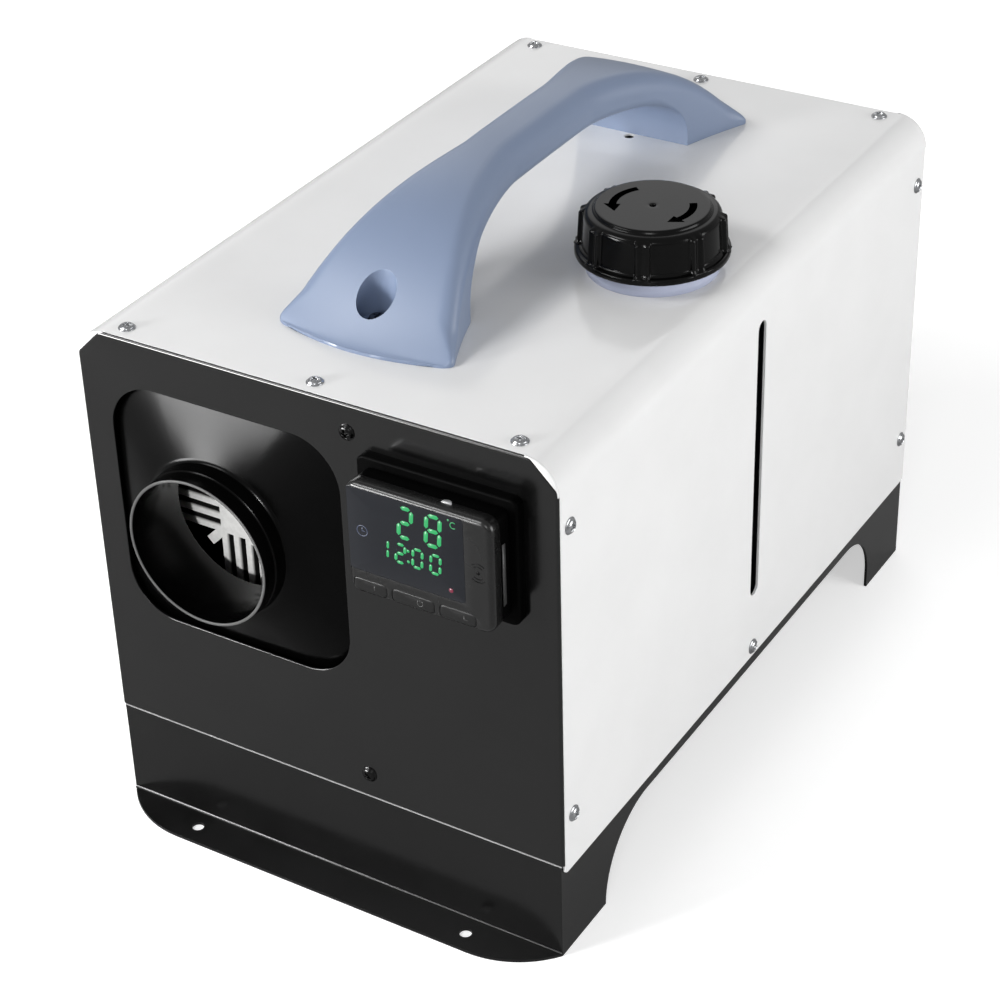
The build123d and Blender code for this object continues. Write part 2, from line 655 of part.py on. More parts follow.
def divider():
    """Upright sheet between the heater side and the tank side, screwed to both panels."""
    far = divider_x + PANEL_SHEET
    sheet = slab(divider_x, far, front_inner, rear_inner, deck_top, divider_top)
    tongue_low = SEAM_HEIGHT - TONGUE_BELOW
    for end in (-1, 1):
        outer = end * (rear_inner + 1)
        notch = end * (rear_inner - PANEL_SHEET)
        sheet -= slab(
            divider_x - 1, far + 1, min(outer, notch), max(outer, notch),
            tongue_low - DIVIDER_NOTCH_GAP, SEAM_HEIGHT + DIVIDER_NOTCH,
        )
        inner = end * (rear_inner - PANEL_SHEET)
        face = end * rear_inner
        sheet += slab(
            divider_x - DIVIDER_FLANGE, far, min(inner, face), max(inner, face),
            SEAM_HEIGHT + DIVIDER_NOTCH + 0.5, panel_screw_high + 6,
        )
    foot_top = deck_top + PANEL_SHEET
    sheet += slab(divider_x, divider_x + DIVIDER_FLANGE, -rear_y / 2, rear_y / 2, deck_top, foot_top)
    hole = HOSE_RADIUS + SHELF_PASSAGE
    sheet -= rod_x(hole, divider_x - 1, far + 1, fuel_line_y, fuel_line_z)
    return drilled(sheet, panel_screw_places(), SCREW_SHANK + SCREW_CLEARANCE)


def screw_set(places, length):
    """One pan-head screw at each place."""
    screw = pan_screw(SCREW_HEAD, SCREW_HEAD_HEIGHT, SCREW_SHANK, length)
    return group([place * screw for place in places])


def nut_set(places, stack):
    """One clinch nut behind the sheets that each screw holds together."""
    nut = Cylinder(NUT_RADIUS, NUT_HEIGHT) - Cylinder(SCREW_SHANK + NUT_CLEARANCE, NUT_HEIGHT + 1)
    return group([place * Pos(0, 0, -stack - NUT_HEIGHT / 2) * nut for place in places])


# ---- handle --------------------------------------------------------------------------
def handle_station(y):
    """Half-width, shoulder height and crown height of the handle, y out from the middle."""
    flare = max(0.0, min(1.0, (y - HANDLE_FLARE_START) / (HANDLE_FLARE_END - HANDLE_FLARE_START)))
    half = HANDLE_GRIP_HALF + (HANDLE_FOOT_HALF - HANDLE_GRIP_HALF) * flare**1.5
    fall = max(0.0, (y - HANDLE_LEVEL) / (HANDLE_RUNOUT - HANDLE_LEVEL))
    crown = handle_top - HANDLE_DROP * fall * fall * (3 - 2 * fall)
    shoulder = max(crown - HANDLE_CROWN_RISE, COVER_TOP + HANDLE_LIP)
    return half, shoulder, crown


def handle_section(y):
    """One cross-section of the handle, from the cover up to its crowned top."""
    half, shoulder, crown = handle_station(abs(y))
    outline = Line((-half, COVER_TOP), (half, COVER_TOP)) + Line((half, COVER_TOP), (half, shoulder))
    outline += ThreePointArc((half, shoulder), (0, crown), (-half, shoulder))
    outline += Line((-half, shoulder), (-half, COVER_TOP))
    return Plane(origin=(0, y, 0), x_dir=(1, 0, 0), z_dir=(0, -1, 0)) * make_face(outline)


def handle():
    """Moulded carrying handle: two broad feet and a crowned grip over a hand gap."""
    stations = [HANDLE_END * k / 12 for k in range(-12, 13)]
    body = loft([handle_section(y) for y in stations], ruled=True)
    bow_radius = (HANDLE_FOOT_HALF**2 + HANDLE_BOW**2) / (2 * HANDLE_BOW)
    for end in (-1, 1):
        far_block = slab(
            -2 * HANDLE_FOOT_HALF, 2 * HANDLE_FOOT_HALF, *sorted((0, end * (HANDLE_END + 1))),
            COVER_TOP - 1, handle_top + 1,
        )
        disc = rod_z(bow_radius, COVER_TOP - 2, handle_top + 2, 0, end * (HANDLE_END - bow_radius))
        body -= far_block - disc
    arch = Pos(0, COVER_TOP) * Ellipse(HANDLE_INNER, HAND_GAP_HEIGHT)
    body -= extrude(Plane.YZ * arch, amount=2 * HANDLE_FOOT_HALF, both=True)
    for end in (-1, 1):
        y = end * COUNTERBORE_Y
        body -= rod_z(COUNTERBORE, counterbore_floor, handle_top, 0, y)
        body -= rod_z(HANDLE_SCREW_SHANK + SCREW_CLEARANCE, COVER_TOP - 1, counterbore_floor + 1, 0, y)
    return body


def handle_screws():
    """Two long screws down through the handle's feet."""
    screw = pan_screw(HANDLE_SCREW_HEAD, HANDLE_SCREW_HEAD_HEIGHT, HANDLE_SCREW_SHANK, HANDLE_SCREW_LENGTH)
    return group([Pos(0, end * COUNTERBORE_Y, counterbore_floor) * screw for end in (-1, 1)])


def handle_nuts():
    """Two nuts against the underside of the cover."""
    nut = Cylinder(HANDLE_NUT_RADIUS, HANDLE_NUT_HEIGHT)
    nut -= Cylinder(HANDLE_SCREW_SHANK + NUT_CLEARANCE, HANDLE_NUT_HEIGHT + 1)
    height = COVER_TOP - COVER_SHEET - HANDLE_NUT_HEIGHT / 2
    return group([Pos(0, end * COUNTERBORE_Y, height) * nut for end in (-1, 1)])


# ---- fuel tank and filler ------------------------------------------------------------
def fuel_tank():
    """Hollow moulded tank with its neck, thread ribs and outlet nipple."""
    tank = slab(tank_left, tank_right, TANK_FRONT, TANK_REAR, tank_low, tank_top)
    tank = fillet(tank.edges(), TANK_CORNER)
    tank += rod_z(NECK_RADIUS, tank_top - TANK_WALL, neck_top, filler_x, FILLER_Y)
    hollow = slab(
        tank_left + TANK_WALL, tank_right - TANK_WALL, TANK_FRONT + TANK_WALL, TANK_REAR - TANK_WALL,
        tank_low + TANK_WALL, tank_top - TANK_WALL,
    )
    tank -= fillet(hollow.edges(), TANK_CORNER - TANK_WALL)
    for rise in NECK_RIB_RISES:
        z = cap_low + rise
        tank += rod_z(NECK_RADIUS + NECK_RIB, z, z + NECK_RIB_WIDTH, filler_x, FILLER_Y)
    tank -= rod_z(NECK_RADIUS - NECK_WALL, tank_top - TANK_WALL - 1, neck_top + 1, filler_x, FILLER_Y)
    nipple_end = TANK_REAR + NIPPLE_LENGTH
    tank += rod_y(NIPPLE_RADIUS, TANK_REAR - NIPPLE_ROOT, nipple_end, outlet_x, outlet_z)
    tank -= rod_y(NIPPLE_BORE, TANK_REAR - NIPPLE_ROOT - 1, nipple_end + 1, outlet_x, outlet_z)
    return tank


def tank_pads():
    """Rubber pads between the deck and the tank."""
    pads = []
    for x in (tank_left + PAD_INSET, tank_right - PAD_INSET):
        for y in (TANK_FRONT + PAD_INSET, TANK_REAR - PAD_INSET):
            pads.append(rod_z(PAD_RADIUS, deck_top, tank_low, x, y))
    return group(pads)


def tank_strap():
    """Steel strap over the tank, its feet on the deck."""
    near = tank_left - STRAP_GAP
    far = tank_right + STRAP_GAP
    y_low = STRAP_Y - STRAP_WIDTH / 2
    y_high = STRAP_Y + STRAP_WIDTH / 2
    crown = tank_top + STRAP_GAP
    strap = slab(near - STRAP_SHEET, far + STRAP_SHEET, y_low, y_high, crown, crown + STRAP_SHEET)
    seat = deck_top + PANEL_SHEET
    strap += slab(near - STRAP_SHEET, near, y_low, y_high, seat, crown + STRAP_SHEET)
    strap += slab(far, far + STRAP_SHEET, y_low, y_high, deck_top, crown + STRAP_SHEET)
    return strap


def filler_collar():
    """Coloured collar that seats on the cover round the tank's neck."""
    collar = rod_z(COLLAR_RADIUS, COVER_TOP, COVER_TOP + COLLAR_HEIGHT, filler_x, FILLER_Y)
    collar = fillet(collar.edges().filter_by(GeomType.CIRCLE).group_by(Axis.Z)[-1], COLLAR_EDGE)
    collar += rod_z(COLLAR_BARREL, tank_top, COVER_TOP + 1, filler_x, FILLER_Y)
    bore = NECK_RADIUS + NECK_CLEARANCE
    return collar - rod_z(bore, tank_top - 1, COVER_TOP + COLLAR_HEIGHT + 1, filler_x, FILLER_Y)


def cap():
    """Filler cap: lip, ribbed body, top disc and a plain bore over the neck."""
    body = rod_z(CAP_BODY_RADIUS, cap_low, cap_top, filler_x, FILLER_Y)
    body = fillet(body.edges().filter_by(GeomType.CIRCLE).group_by(Axis.Z)[-1], CAP_EDGE)
    body += rod_z(CAP_LIP_RADIUS, cap_low, cap_low + CAP_LIP_HEIGHT, filler_x, FILLER_Y)
    for k in range(CAP_LUGS):
        angle = 2 * pi * k / CAP_LUGS
        reach = CAP_BODY_RADIUS - CAP_LUG_INSET
        x = filler_x + reach * cos(angle)
        y = FILLER_Y + reach * sin(angle)
        body += rod_z(CAP_LUG_RADIUS, cap_low + 1, cap_top - CAP_LUG_DROP, x, y)
    step = cap_top - CAP_DISC_DEPTH
    ring = rod_z(CAP_DISC_RADIUS + CAP_GROOVE, step, cap_top + 1, filler_x, FILLER_Y)
    ring -= rod_z(CAP_DISC_RADIUS, step - 1, cap_top + 2, filler_x, FILLER_Y)
    body -= ring
    body -= rod_z(CAP_BORE, cap_low - 1, cap_ceiling, filler_x, FILLER_Y)
    return body - rod_z(CAP_VENT, cap_ceiling - 1, cap_top + 1, filler_x, FILLER_Y)


def cap_gasket():
    """Flat rubber ring on the neck's rim."""
    ring = rod_z(NECK_RADIUS + GASKET_OVERHANG, neck_top, cap_ceiling, filler_x, FILLER_Y)
    bore = NECK_RADIUS - NECK_WALL - GASKET_OVERHANG
    return ring - rod_z(bore, neck_top - 1, cap_ceiling + 1, filler_x, FILLER_Y)


def cap_breather():
    """Small one-way breather valve under the cap's vent hole."""
    valve = rod_z(BREATHER_RADIUS, cap_ceiling - BREATHER_HEIGHT, cap_ceiling, filler_x, FILLER_Y)
    return valve - rod_z(CAP_VENT, cap_ceiling - BREATHER_HEIGHT - 1, cap_ceiling + 1, filler_x, FILLER_Y)


# ---- outlet hood and case ------------------------------------------------------------
def dome(shrink, root_radius, y_back, y_front):
    """Loft from the case's rounded outline to the round collar."""
    half_x = CASE_HALF_WIDTH - shrink
    half_z = CASE_HALF_HEIGHT - shrink
    back = Plane(origin=(core_x, y_back, core_z), x_dir=(1, 0, 0), z_dir=(0, -1, 0))
    front = Plane(origin=(core_x, y_front, core_z), x_dir=(1, 0, 0), z_dir=(0, -1, 0))
    wide = back * RectangleRounded(2 * half_x, 2 * half_z, CASE_CORNER - shrink)
    return loft([wide, front * Circle(root_radius)], ruled=True)


def outlet_hood():
    """Plastic hood from the case to the round warm-air collar."""
    hood = core_block(0, hood_edge, case_front)
    hood += dome(0, OUTLET_RADIUS + 2 * OUTLET_STEP_HEIGHT, hood_edge, collar_root)
    bore = OUTLET_RADIUS - OUTLET_WALL
    hood -= core_block(CASE_WALL, hood_edge, case_front + 1)
    hood -= dome(CASE_WALL, OUTLET_RADIUS + OUTLET_STEP_HEIGHT, hood_edge, collar_root + CASE_WALL)
    step_y = collar_rim + OUTLET_STEP
    tube = rod_y(OUTLET_RADIUS, collar_rim, collar_rim + OUTLET_TUBE, core_x, core_z)
    tube += rod_y(OUTLET_RADIUS + OUTLET_STEP_HEIGHT, step_y, collar_root, core_x, core_z)
    hood += tube
    return hood - rod_y(bore, collar_rim - 1, collar_rim + OUTLET_TUBE + 1, core_x, core_z)


def case_tube():
    """Both halves of the case as one tube."""
    tube = core_block(0, case_front, CASE_REAR)
    return tube - core_block(CASE_WALL, case_front - 1, CASE_REAR + 1)


def heater_case_upper():
    """Upper half of the plastic case, with the hole for the wiring."""
    roof = case_high + 1
    half = case_tube() & slab(-half_width, half_width, front_y, rear_y, core_z, roof)
    return half - rod_z(LOOM_RADIUS + 1, roof - CASE_WALL - 3, roof + 1, loom_x, MODULE_Y)


def heater_case_lower():
    """Lower half of the plastic case, open where the exchanger's foot comes through."""
    half = case_tube() & slab(-half_width, half_width, front_y, rear_y, case_low - 1, core_z)
    reach = EXCHANGER_FOOT_HALF + FOOT_PASSAGE
    return half - slab(
        core_x - reach, core_x + reach, EXCHANGER_FOOT_FRONT - FOOT_PASSAGE, EXCHANGER_FOOT_REAR + FOOT_PASSAGE,
        case_low - 2, case_low + CASE_WALL + 1,
    )


def inlet_duct():
    """Plastic end piece from the rear panel to the case."""
    plate = core_block(0, CASE_REAR, CASE_REAR + INLET_WALL)
    plate += rod_y(INLET_RADIUS + INLET_WALL, CASE_REAR, rear_inner, core_x, core_z)
    return plate - rod_y(INLET_RADIUS, CASE_REAR - 1, rear_inner + 1, core_x, core_z)


def intake_grille():
    """Round guard over the air inlet: rim, rings and spokes."""
    face = rear_y + GRILLE_PROUD
    rim = rod_y(GRILLE_RADIUS, rear_y, face, core_x, core_z)
    rim -= rod_y(INLET_RADIUS - GRILLE_RIM, rear_y - 1, face + 1, core_x, core_z)
    for k in range(1, GRILLE_RINGS + 1):
        radius = (INLET_RADIUS - GRILLE_RIM) * k / (GRILLE_RINGS + 1)
        ring = rod_y(radius + GRILLE_BAR / 2, rear_y, face, core_x, core_z)
        rim += ring - rod_y(radius - GRILLE_BAR / 2, rear_y - 1, face + 1, core_x, core_z)
    for k in range(GRILLE_SPOKES // 2):
        bar = Box(2 * INLET_RADIUS, GRILLE_PROUD, GRILLE_BAR)
        turn = Rot(0, 180 * k / (GRILLE_SPOKES // 2), 0)
        rim += Pos(core_x, rear_y + GRILLE_PROUD / 2, core_z) * turn * bar
    return rim


# ---- heater core ---------------------------------------------------------------------
def heat_exchanger():
    """Cast aluminium exchanger: closed hollow body, straight fins, stubs and its foot."""
    body = rod_y(EXCHANGER_RADIUS, EXCHANGER_FRONT, EXCHANGER_REAR, core_x, core_z)
    reach_x = CASE_HALF_WIDTH - CASE_WALL - FIN_GAP
    reach_z = CASE_HALF_HEIGHT - CASE_WALL - FIN_GAP
    half = FIN_THICKNESS / 2
    widest = FIN_PITCH * FINS_EACH_SIDE
    root = sqrt(EXCHANGER_RADIUS**2 - widest**2) - FIN_ROOT
    for k in range(-FINS_EACH_SIDE, FINS_EACH_SIDE + 1):
        x = core_x + k * FIN_PITCH
        z = core_z + k * FIN_PITCH
        for side in (-1, 1):
            x_low, x_high = sorted((core_x + side * root, core_x + side * reach_x))
            body += slab(x_low, x_high, EXCHANGER_FRONT, FIN_REAR, z - half, z + half)
            z_low, z_high = sorted((core_z + side * root, core_z + side * reach_z))
            body += slab(x - half, x + half, EXCHANGER_FRONT, FIN_REAR, z_low, z_high)
    for turn in (45, 135):
        stub = Box(2 * STUB_REACH, FIN_REAR - EXCHANGER_FRONT, STUB_THICKNESS)
        body += Pos(core_x, (FIN_REAR + EXCHANGER_FRONT) / 2, core_z) * Rot(0, turn, 0) * stub
    foot = slab(
        core_x - EXCHANGER_FOOT_HALF, core_x + EXCHANGER_FOOT_HALF, EXCHANGER_FOOT_FRONT,
        EXCHANGER_FOOT_REAR, foot_seat, core_z - root,
    )
    body += foot
    inner = EXCHANGER_RADIUS - EXCHANGER_WALL
    body -= rod_y(inner, EXCHANGER_FRONT + EXCHANGER_WALL, EXCHANGER_REAR + 1, core_x, core_z)
    body -= rod_z(PLUG_RADIUS + PIPE_CLEARANCE, core_z, core_z + reach_z, core_x, PLUG_Y)
    hex_bore = PLUG_HEX + PLUG_HEX_CLEARANCE
    body -= rod_z(hex_bore, core_z + EXCHANGER_RADIUS, core_z + reach_z + 1, core_x, PLUG_Y)
    for x, radius in ((exhaust_x, EXHAUST_RADIUS), (air_x, AIR_PIPE_RADIUS)):
        body -= rod_z(radius + PIPE_STEP + PIPE_CLEARANCE, foot_seat - 1, foot_seat + PIPE_INSERT, x, PIPE_Y)
    body -= rod_z(NIPPLE_RADIUS + HOSE_GAP, foot_seat - 1, foot_seat + NIPPLE_INSERT, core_x, nipple_y())
    for x, y in stud_places():
        body -= rod_z(STUD_RADIUS + NUT_CLEARANCE, foot_seat - 1, foot_seat + STUD_INSERT + 1, x, y)
    return body


def stud_places():
    """Corners of the exchanger's foot where its studs stand."""
    rows = (EXCHANGER_FOOT_FRONT + STUD_INSET, EXCHANGER_FOOT_REAR - STUD_INSET)
    return [(core_x + side * STUD_X, y) for side in (-1, 1) for y in rows]


def nipple_y():
    """Place of the core's fuel nipple along Y, behind the two pipes."""
    return EXCHANGER_FOOT_REAR - STUD_INSET


def burner_tube():
    """Steel combustion tube with its mounting flange."""
    flange = rod_y(EXCHANGER_RADIUS, EXCHANGER_REAR, housing_front, core_x, core_z)
    tube = rod_y(BURNER_RADIUS, BURNER_FRONT, housing_front, core_x, core_z)
    tube += flange
    tube -= rod_y(BURNER_RADIUS - BURNER_WALL, BURNER_FRONT - 1, housing_front + 1, core_x, core_z)
    return tube - rod_z(PLUG_RADIUS + PIPE_CLEARANCE, core_z, core_z + BURNER_RADIUS + 2, core_x, PLUG_Y)


def glow_plug():
    """Glow plug down through the exchanger's wall into the burner."""
    plug = rod_z(PLUG_RADIUS, core_z + PLUG_LOW, core_z + EXCHANGER_RADIUS + 1, core_x, PLUG_Y)
    seat = core_z + EXCHANGER_RADIUS
    hex_head = extrude(Pos(core_x, PLUG_Y, seat) * RegularPolygon(PLUG_HEX, 6), amount=PLUG_HEX_HEIGHT)
    return plug + hex_head + rod_z(PLUG_PIN, seat + PLUG_HEX_HEIGHT - 1, core_z + PLUG_HIGH, core_x, PLUG_Y)


def blower_housing():
    """Cast housing behind the burner that holds the motor and the control module."""
    body = rod_y(EXCHANGER_RADIUS, housing_front, HOUSING_REAR, core_x, core_z)
    inner = EXCHANGER_RADIUS - HOUSING_WALL
    body -= rod_y(inner, housing_front - 1, HOUSING_REAR - HOUSING_WALL, core_x, core_z)
    hole = SHAFT_RADIUS + SHAFT_PASSAGE
    body -= rod_y(hole, HOUSING_REAR - HOUSING_WALL - 1, HOUSING_REAR + 1, core_x, core_z)
    saddle_half = MODULE_WIDTH / 4
    saddle_low = core_z + sqrt(EXCHANGER_RADIUS**2 - saddle_half**2) - FIN_ROOT
    body += slab(
        core_x - saddle_half, core_x + saddle_half, MODULE_Y - MODULE_LENGTH / 3,
        MODULE_Y + MODULE_LENGTH / 3, saddle_low, module_seat,
    ) - rod_y(inner + 1, housing_front, HOUSING_REAR, core_x, core_z)
    return body


def motor():
    """Blower motor's can, with the running bore for its shaft."""
    rear = HOUSING_REAR - HOUSING_WALL
    can = rod_y(MOTOR_RADIUS, rear - MOTOR_LENGTH, rear, core_x, core_z)
    can = fillet(can.edges().filter_by(GeomType.CIRCLE).group_by(Axis.Y)[0], MOTOR_EDGE)
    return can - rod_y(SHAFT_RADIUS + RUNNING_FIT, rear - MOTOR_LENGTH - 1, rear + 1, core_x, core_z)


def rotor_shaft():
    """Shaft through the motor, with a fan on each end."""
    return rod_y(SHAFT_RADIUS, SHAFT_FRONT, SHAFT_REAR, core_x, core_z)


def combustion_fan():
    """Radial impeller that feeds the burner."""
    back = SHAFT_FRONT + COMBUSTION_FAN_DEPTH
    wheel = rod_y(COMBUSTION_FAN_RADIUS, back - COMBUSTION_FAN_DISC, back, core_x, core_z)
    wheel += rod_y(COMBUSTION_FAN_HUB, SHAFT_FRONT, back, core_x, core_z)
    blade_root = COMBUSTION_FAN_HUB + 4
    blade_length = COMBUSTION_FAN_RADIUS - blade_root
    blade_middle = (COMBUSTION_FAN_RADIUS + blade_root) / 2
    for k in range(COMBUSTION_FAN_BLADES):
        turn = Rot(0, 360 * k / COMBUSTION_FAN_BLADES, 0)
        blade = Pos(blade_middle, 0, 0) * Box(blade_length, COMBUSTION_FAN_DEPTH - 1, COMBUSTION_BLADE)
        wheel += Pos(core_x, SHAFT_FRONT + COMBUSTION_FAN_DEPTH / 2, core_z) * turn * blade
    return wheel - rod_y(SHAFT_RADIUS, SHAFT_FRONT - 1, back + 1, core_x, core_z)


def warm_air_fan():
    """Axial fan at the inlet end that blows room air over the exchanger."""
    front = SHAFT_REAR - WARM_FAN_DEPTH - WARM_FAN_INSET
    middle = front + WARM_FAN_DEPTH / 2
    wheel = rod_y(WARM_FAN_HUB, front, front + WARM_FAN_DEPTH, core_x, core_z)
    blade_root = WARM_FAN_HUB - WARM_BLADE_ROOT
    blade_length = WARM_FAN_RADIUS - blade_root
    blade_middle = blade_root + blade_length / 2
    for k in range(WARM_FAN_BLADES):
        turn = Rot(0, 360 * k / WARM_FAN_BLADES, 0)
        blade = Rot(WARM_FAN_PITCH, 0, 0) * Box(blade_length, WARM_FAN_DEPTH - WARM_BLADE_ROOT, WARM_BLADE)
        wheel += Pos(core_x, middle, core_z) * turn * Pos(blade_middle, 0, 0) * blade
    return wheel - rod_y(SHAFT_RADIUS, front - 1, front + WARM_FAN_DEPTH + 1, core_x, core_z)


def control_module():
    """Box with the heater's control electronics, on the housing's saddle."""
    box = slab(
        core_x - MODULE_WIDTH / 2, core_x + MODULE_WIDTH / 2, MODULE_Y - MODULE_LENGTH / 2,
        MODULE_Y + MODULE_LENGTH / 2, module_seat, module_top,
    )
    return fillet(box.edges().filter_by(Axis.Z), MODULE_CORNER)


def heater_shelf():
    """Bent shelf that carries the core above the deck."""
    top = slab(
        shelf_left, divider_x, -SHELF_HALF_LENGTH, SHELF_HALF_LENGTH, shelf_top - PANEL_SHEET, shelf_top,
    )
    for x in (shelf_left, divider_x - PANEL_SHEET):
        top += slab(x, x + PANEL_SHEET, -SHELF_HALF_LENGTH, SHELF_HALF_LENGTH, deck_top, shelf_top)
    for x, radius in ((exhaust_x, EXHAUST_RADIUS), (air_x, AIR_PIPE_RADIUS)):
        top -= rod_z(radius + PIPE_STEP + SHELF_PASSAGE, shelf_top - PANEL_SHEET - 1, shelf_top + 1, x, PIPE_Y)
    top -= rod_z(HOSE_RADIUS + SHELF_PASSAGE, shelf_top - PANEL_SHEET - 1, shelf_top + 1, core_x, nipple_y())
    for x, y in stud_places():
        top -= rod_z(STUD_RADIUS + SCREW_CLEARANCE, shelf_top - PANEL_SHEET - 1, shelf_top + 1, x, y)
    relief = NUT_RADIUS + NUT_RELIEF
    return top - slab(
        shelf_left - 1, shelf_left + PANEL_SHEET + 1, -relief, relief, deck_top - 1, mid_screw_height + relief,
    )


def foot_gasket():
    """Gasket between the exchanger's foot and the shelf."""
    sheet = slab(
        core_x - EXCHANGER_FOOT_HALF, core_x + EXCHANGER_FOOT_HALF, EXCHANGER_FOOT_FRONT,
        EXCHANGER_FOOT_REAR, shelf_top, foot_seat,
    )
    for x, radius in ((exhaust_x, EXHAUST_RADIUS), (air_x, AIR_PIPE_RADIUS)):
        sheet -= rod_z(radius + PIPE_STEP + GASKET_PASSAGE, shelf_top - 1, foot_seat + 1, x, PIPE_Y)
    sheet -= rod_z(HOSE_RADIUS + SHELF_PASSAGE, shelf_top - 1, foot_seat + 1, core_x, nipple_y())
    for x, y in stud_places():
        sheet -= rod_z(STUD_RADIUS + SCREW_CLEARANCE, shelf_top - 1, foot_seat + 1, x, y)
    return sheet


def heater_studs():
    """Four studs from the exchanger's foot down through the shelf."""
    low = shelf_top - PANEL_SHEET - STUD_NUT_HEIGHT - STUD_END
    return group([rod_z(STUD_RADIUS, low, foot_seat + STUD_INSERT, x, y) for x, y in stud_places()])


def heater_nuts():
    """Four nuts under the shelf."""
    seat = shelf_top - PANEL_SHEET
    nuts = []
    for x, y in stud_places():
        blank = Pos(x, y, seat - STUD_NUT_HEIGHT) * RegularPolygon(STUD_NUT, 6)
        nut = extrude(blank, amount=STUD_NUT_HEIGHT)
        nuts.append(nut - rod_z(STUD_RADIUS + NUT_CLEARANCE, seat - STUD_NUT_HEIGHT - 1, seat + 1, x, y))
    return group(nuts)


def core_pipe(radius, x):
    """Straight pipe from the exchanger's foot down past the deck, drawn in to a spigot at its end."""
    top = foot_seat + PIPE_INSERT
    pipe = rod_z(radius, PIPE_END, top, x, PIPE_Y)
    pipe += rod_z(radius + PIPE_STEP, PIPE_END + SPIGOT_LENGTH, top, x, PIPE_Y)
    return pipe - rod_z(radius - PIPE_WALL, PIPE_END - 1, top + 1, x, PIPE_Y)


# ---- controller ----------------------------------------------------------------------
def control_plate(margin, y_low, y_high):
    """Rounded plate the size of the controller's face, plus a margin all round."""
    half_x = CONTROL_WIDTH / 2 + margin
    half_z = CONTROL_HEIGHT / 2 + margin
    return rounded_plate(
        control_x - half_x, control_x + half_x, y_low, y_high,
        control_z - half_z, control_z + half_z, CONTROL_CORNER,
    )


def controller_front():
    """Front half of the controller's case, with the window and three button openings."""
    shell = control_plate(0, control_front, control_split)
    shell = fillet(shell.edges().group_by(Axis.Y)[0], CONTROL_EDGE)
    shell -= control_plate(-CONTROL_WALL, control_front + CONTROL_FACE, control_split + 1)
    shell -= slab(
        glass_left, glass_right, control_front - 1, control_front + GLASS_THICKNESS, glass_low, glass_high,
    )
    shell -= slab(
        glass_left + WINDOW_MARGIN, glass_right - WINDOW_MARGIN, control_front - 1, control_split,
        glass_low + WINDOW_MARGIN, glass_high - WINDOW_MARGIN,
    )
    for left, right in BUTTON_SPANS:
        shell -= slab(
            control_x + left - BUTTON_GAP, control_x + right + BUTTON_GAP, control_front - 1, control_split,
            button_low - BUTTON_GAP, button_high + BUTTON_GAP,
        )
    return shell


def controller_back():
    """Rear half of the controller's case."""
    return control_plate(-CONTROL_BACK_INSET, control_split, cradle_front)


def controller_cradle():
    """Holder on the front panel that the controller clips into."""
    cradle = control_plate(CRADLE_MARGIN, cradle_front, front_y)
    return fillet(cradle.edges().group_by(Axis.Y)[0], CRADLE_EDGE)


def display_glass():
    """Smoked window in the controller's face."""
    return slab(
        glass_left + GLASS_GAP, glass_right - GLASS_GAP, control_front, control_front + GLASS_THICKNESS,
        glass_low + GLASS_GAP, glass_high - GLASS_GAP,
    )


def display_board():
    """Circuit board behind the window and the buttons."""
    inset = CONTROL_WALL + BOARD_GAP
    return control_plate(-inset, control_split - BOARD_THICKNESS, control_split)


def button(left, right):
    """One key: a plate in its opening and a stem towards the board."""
    x_low = control_x + left
    x_high = control_x + right
    front = control_front - BUTTON_PROUD
    key = slab(x_low, x_high, front, front + BUTTON_THICKNESS, button_low, button_high)
    stem_end = control_split - BOARD_THICKNESS - BUTTON_STROKE - BUTTON_SWITCH_GAP
    key += rod_y(
        BUTTON_STEM, front + BUTTON_THICKNESS, stem_end, (x_low + x_high) / 2, (button_low + button_high) / 2,
    )
    return key


# ---- fuel line -----------------------------------------------------------------------
def fuel_pump():
    """Dosing pump: upright can with a nipple at each end and the plunger's bore."""
    can = rod_z(PUMP_RADIUS, PUMP_LOW, PUMP_HIGH, pump_x, PUMP_Y)
    can = fillet(can.edges().filter_by(GeomType.CIRCLE), PUMP_EDGE)
    low = PUMP_LOW - NIPPLE_LENGTH
    high = PUMP_HIGH + NIPPLE_LENGTH
    can += rod_z(NIPPLE_RADIUS, low, high, pump_x, PUMP_Y)
    can -= rod_z(PLUNGER_RADIUS + RUNNING_FIT, PUMP_BORE_LOW, PUMP_BORE_HIGH, pump_x, PUMP_Y)
    return can - rod_z(NIPPLE_BORE, low - 1, high + 1, pump_x, PUMP_Y)


def pump_plunger():
    """Steel plunger that the pump's coil lifts against the spring."""
    return rod_z(PLUNGER_RADIUS, PUMP_BORE_LOW, PUMP_BORE_LOW + PLUNGER_LENGTH, pump_x, PUMP_Y)


def pump_spring():
    """Return spring above the plunger."""
    low = PUMP_BORE_LOW + PLUNGER_LENGTH + SPRING_WIRE + SPRING_SEAT
    height = PUMP_BORE_HIGH - SPRING_WIRE - SPRING_SEAT - low
    path = Helix(height / SPRING_TURNS, height, SPRING_RADIUS)
    coil = sweep(Plane(origin=path @ 0, z_dir=path % 0) * Circle(SPRING_WIRE), path=path)
    return Pos(pump_x, PUMP_Y, low) * coil


def pump_clip():
    """Clip round the pump, fixed to the rear panel."""
    middle = (PUMP_LOW + PUMP_HIGH) / 2
    low = middle - CLIP_HEIGHT / 2
    high = middle + CLIP_HEIGHT / 2
    outer = PUMP_RADIUS + STRAP_GAP + CLIP_WALL
    clip = rod_z(outer, low, high, pump_x, PUMP_Y)
    clip += slab(pump_x - CLIP_TAB, pump_x + CLIP_TAB, PUMP_Y + PUMP_RADIUS, rear_inner, low, high)
    return clip - rod_z(PUMP_RADIUS + STRAP_GAP, low - 1, high + 1, pump_x, PUMP_Y)


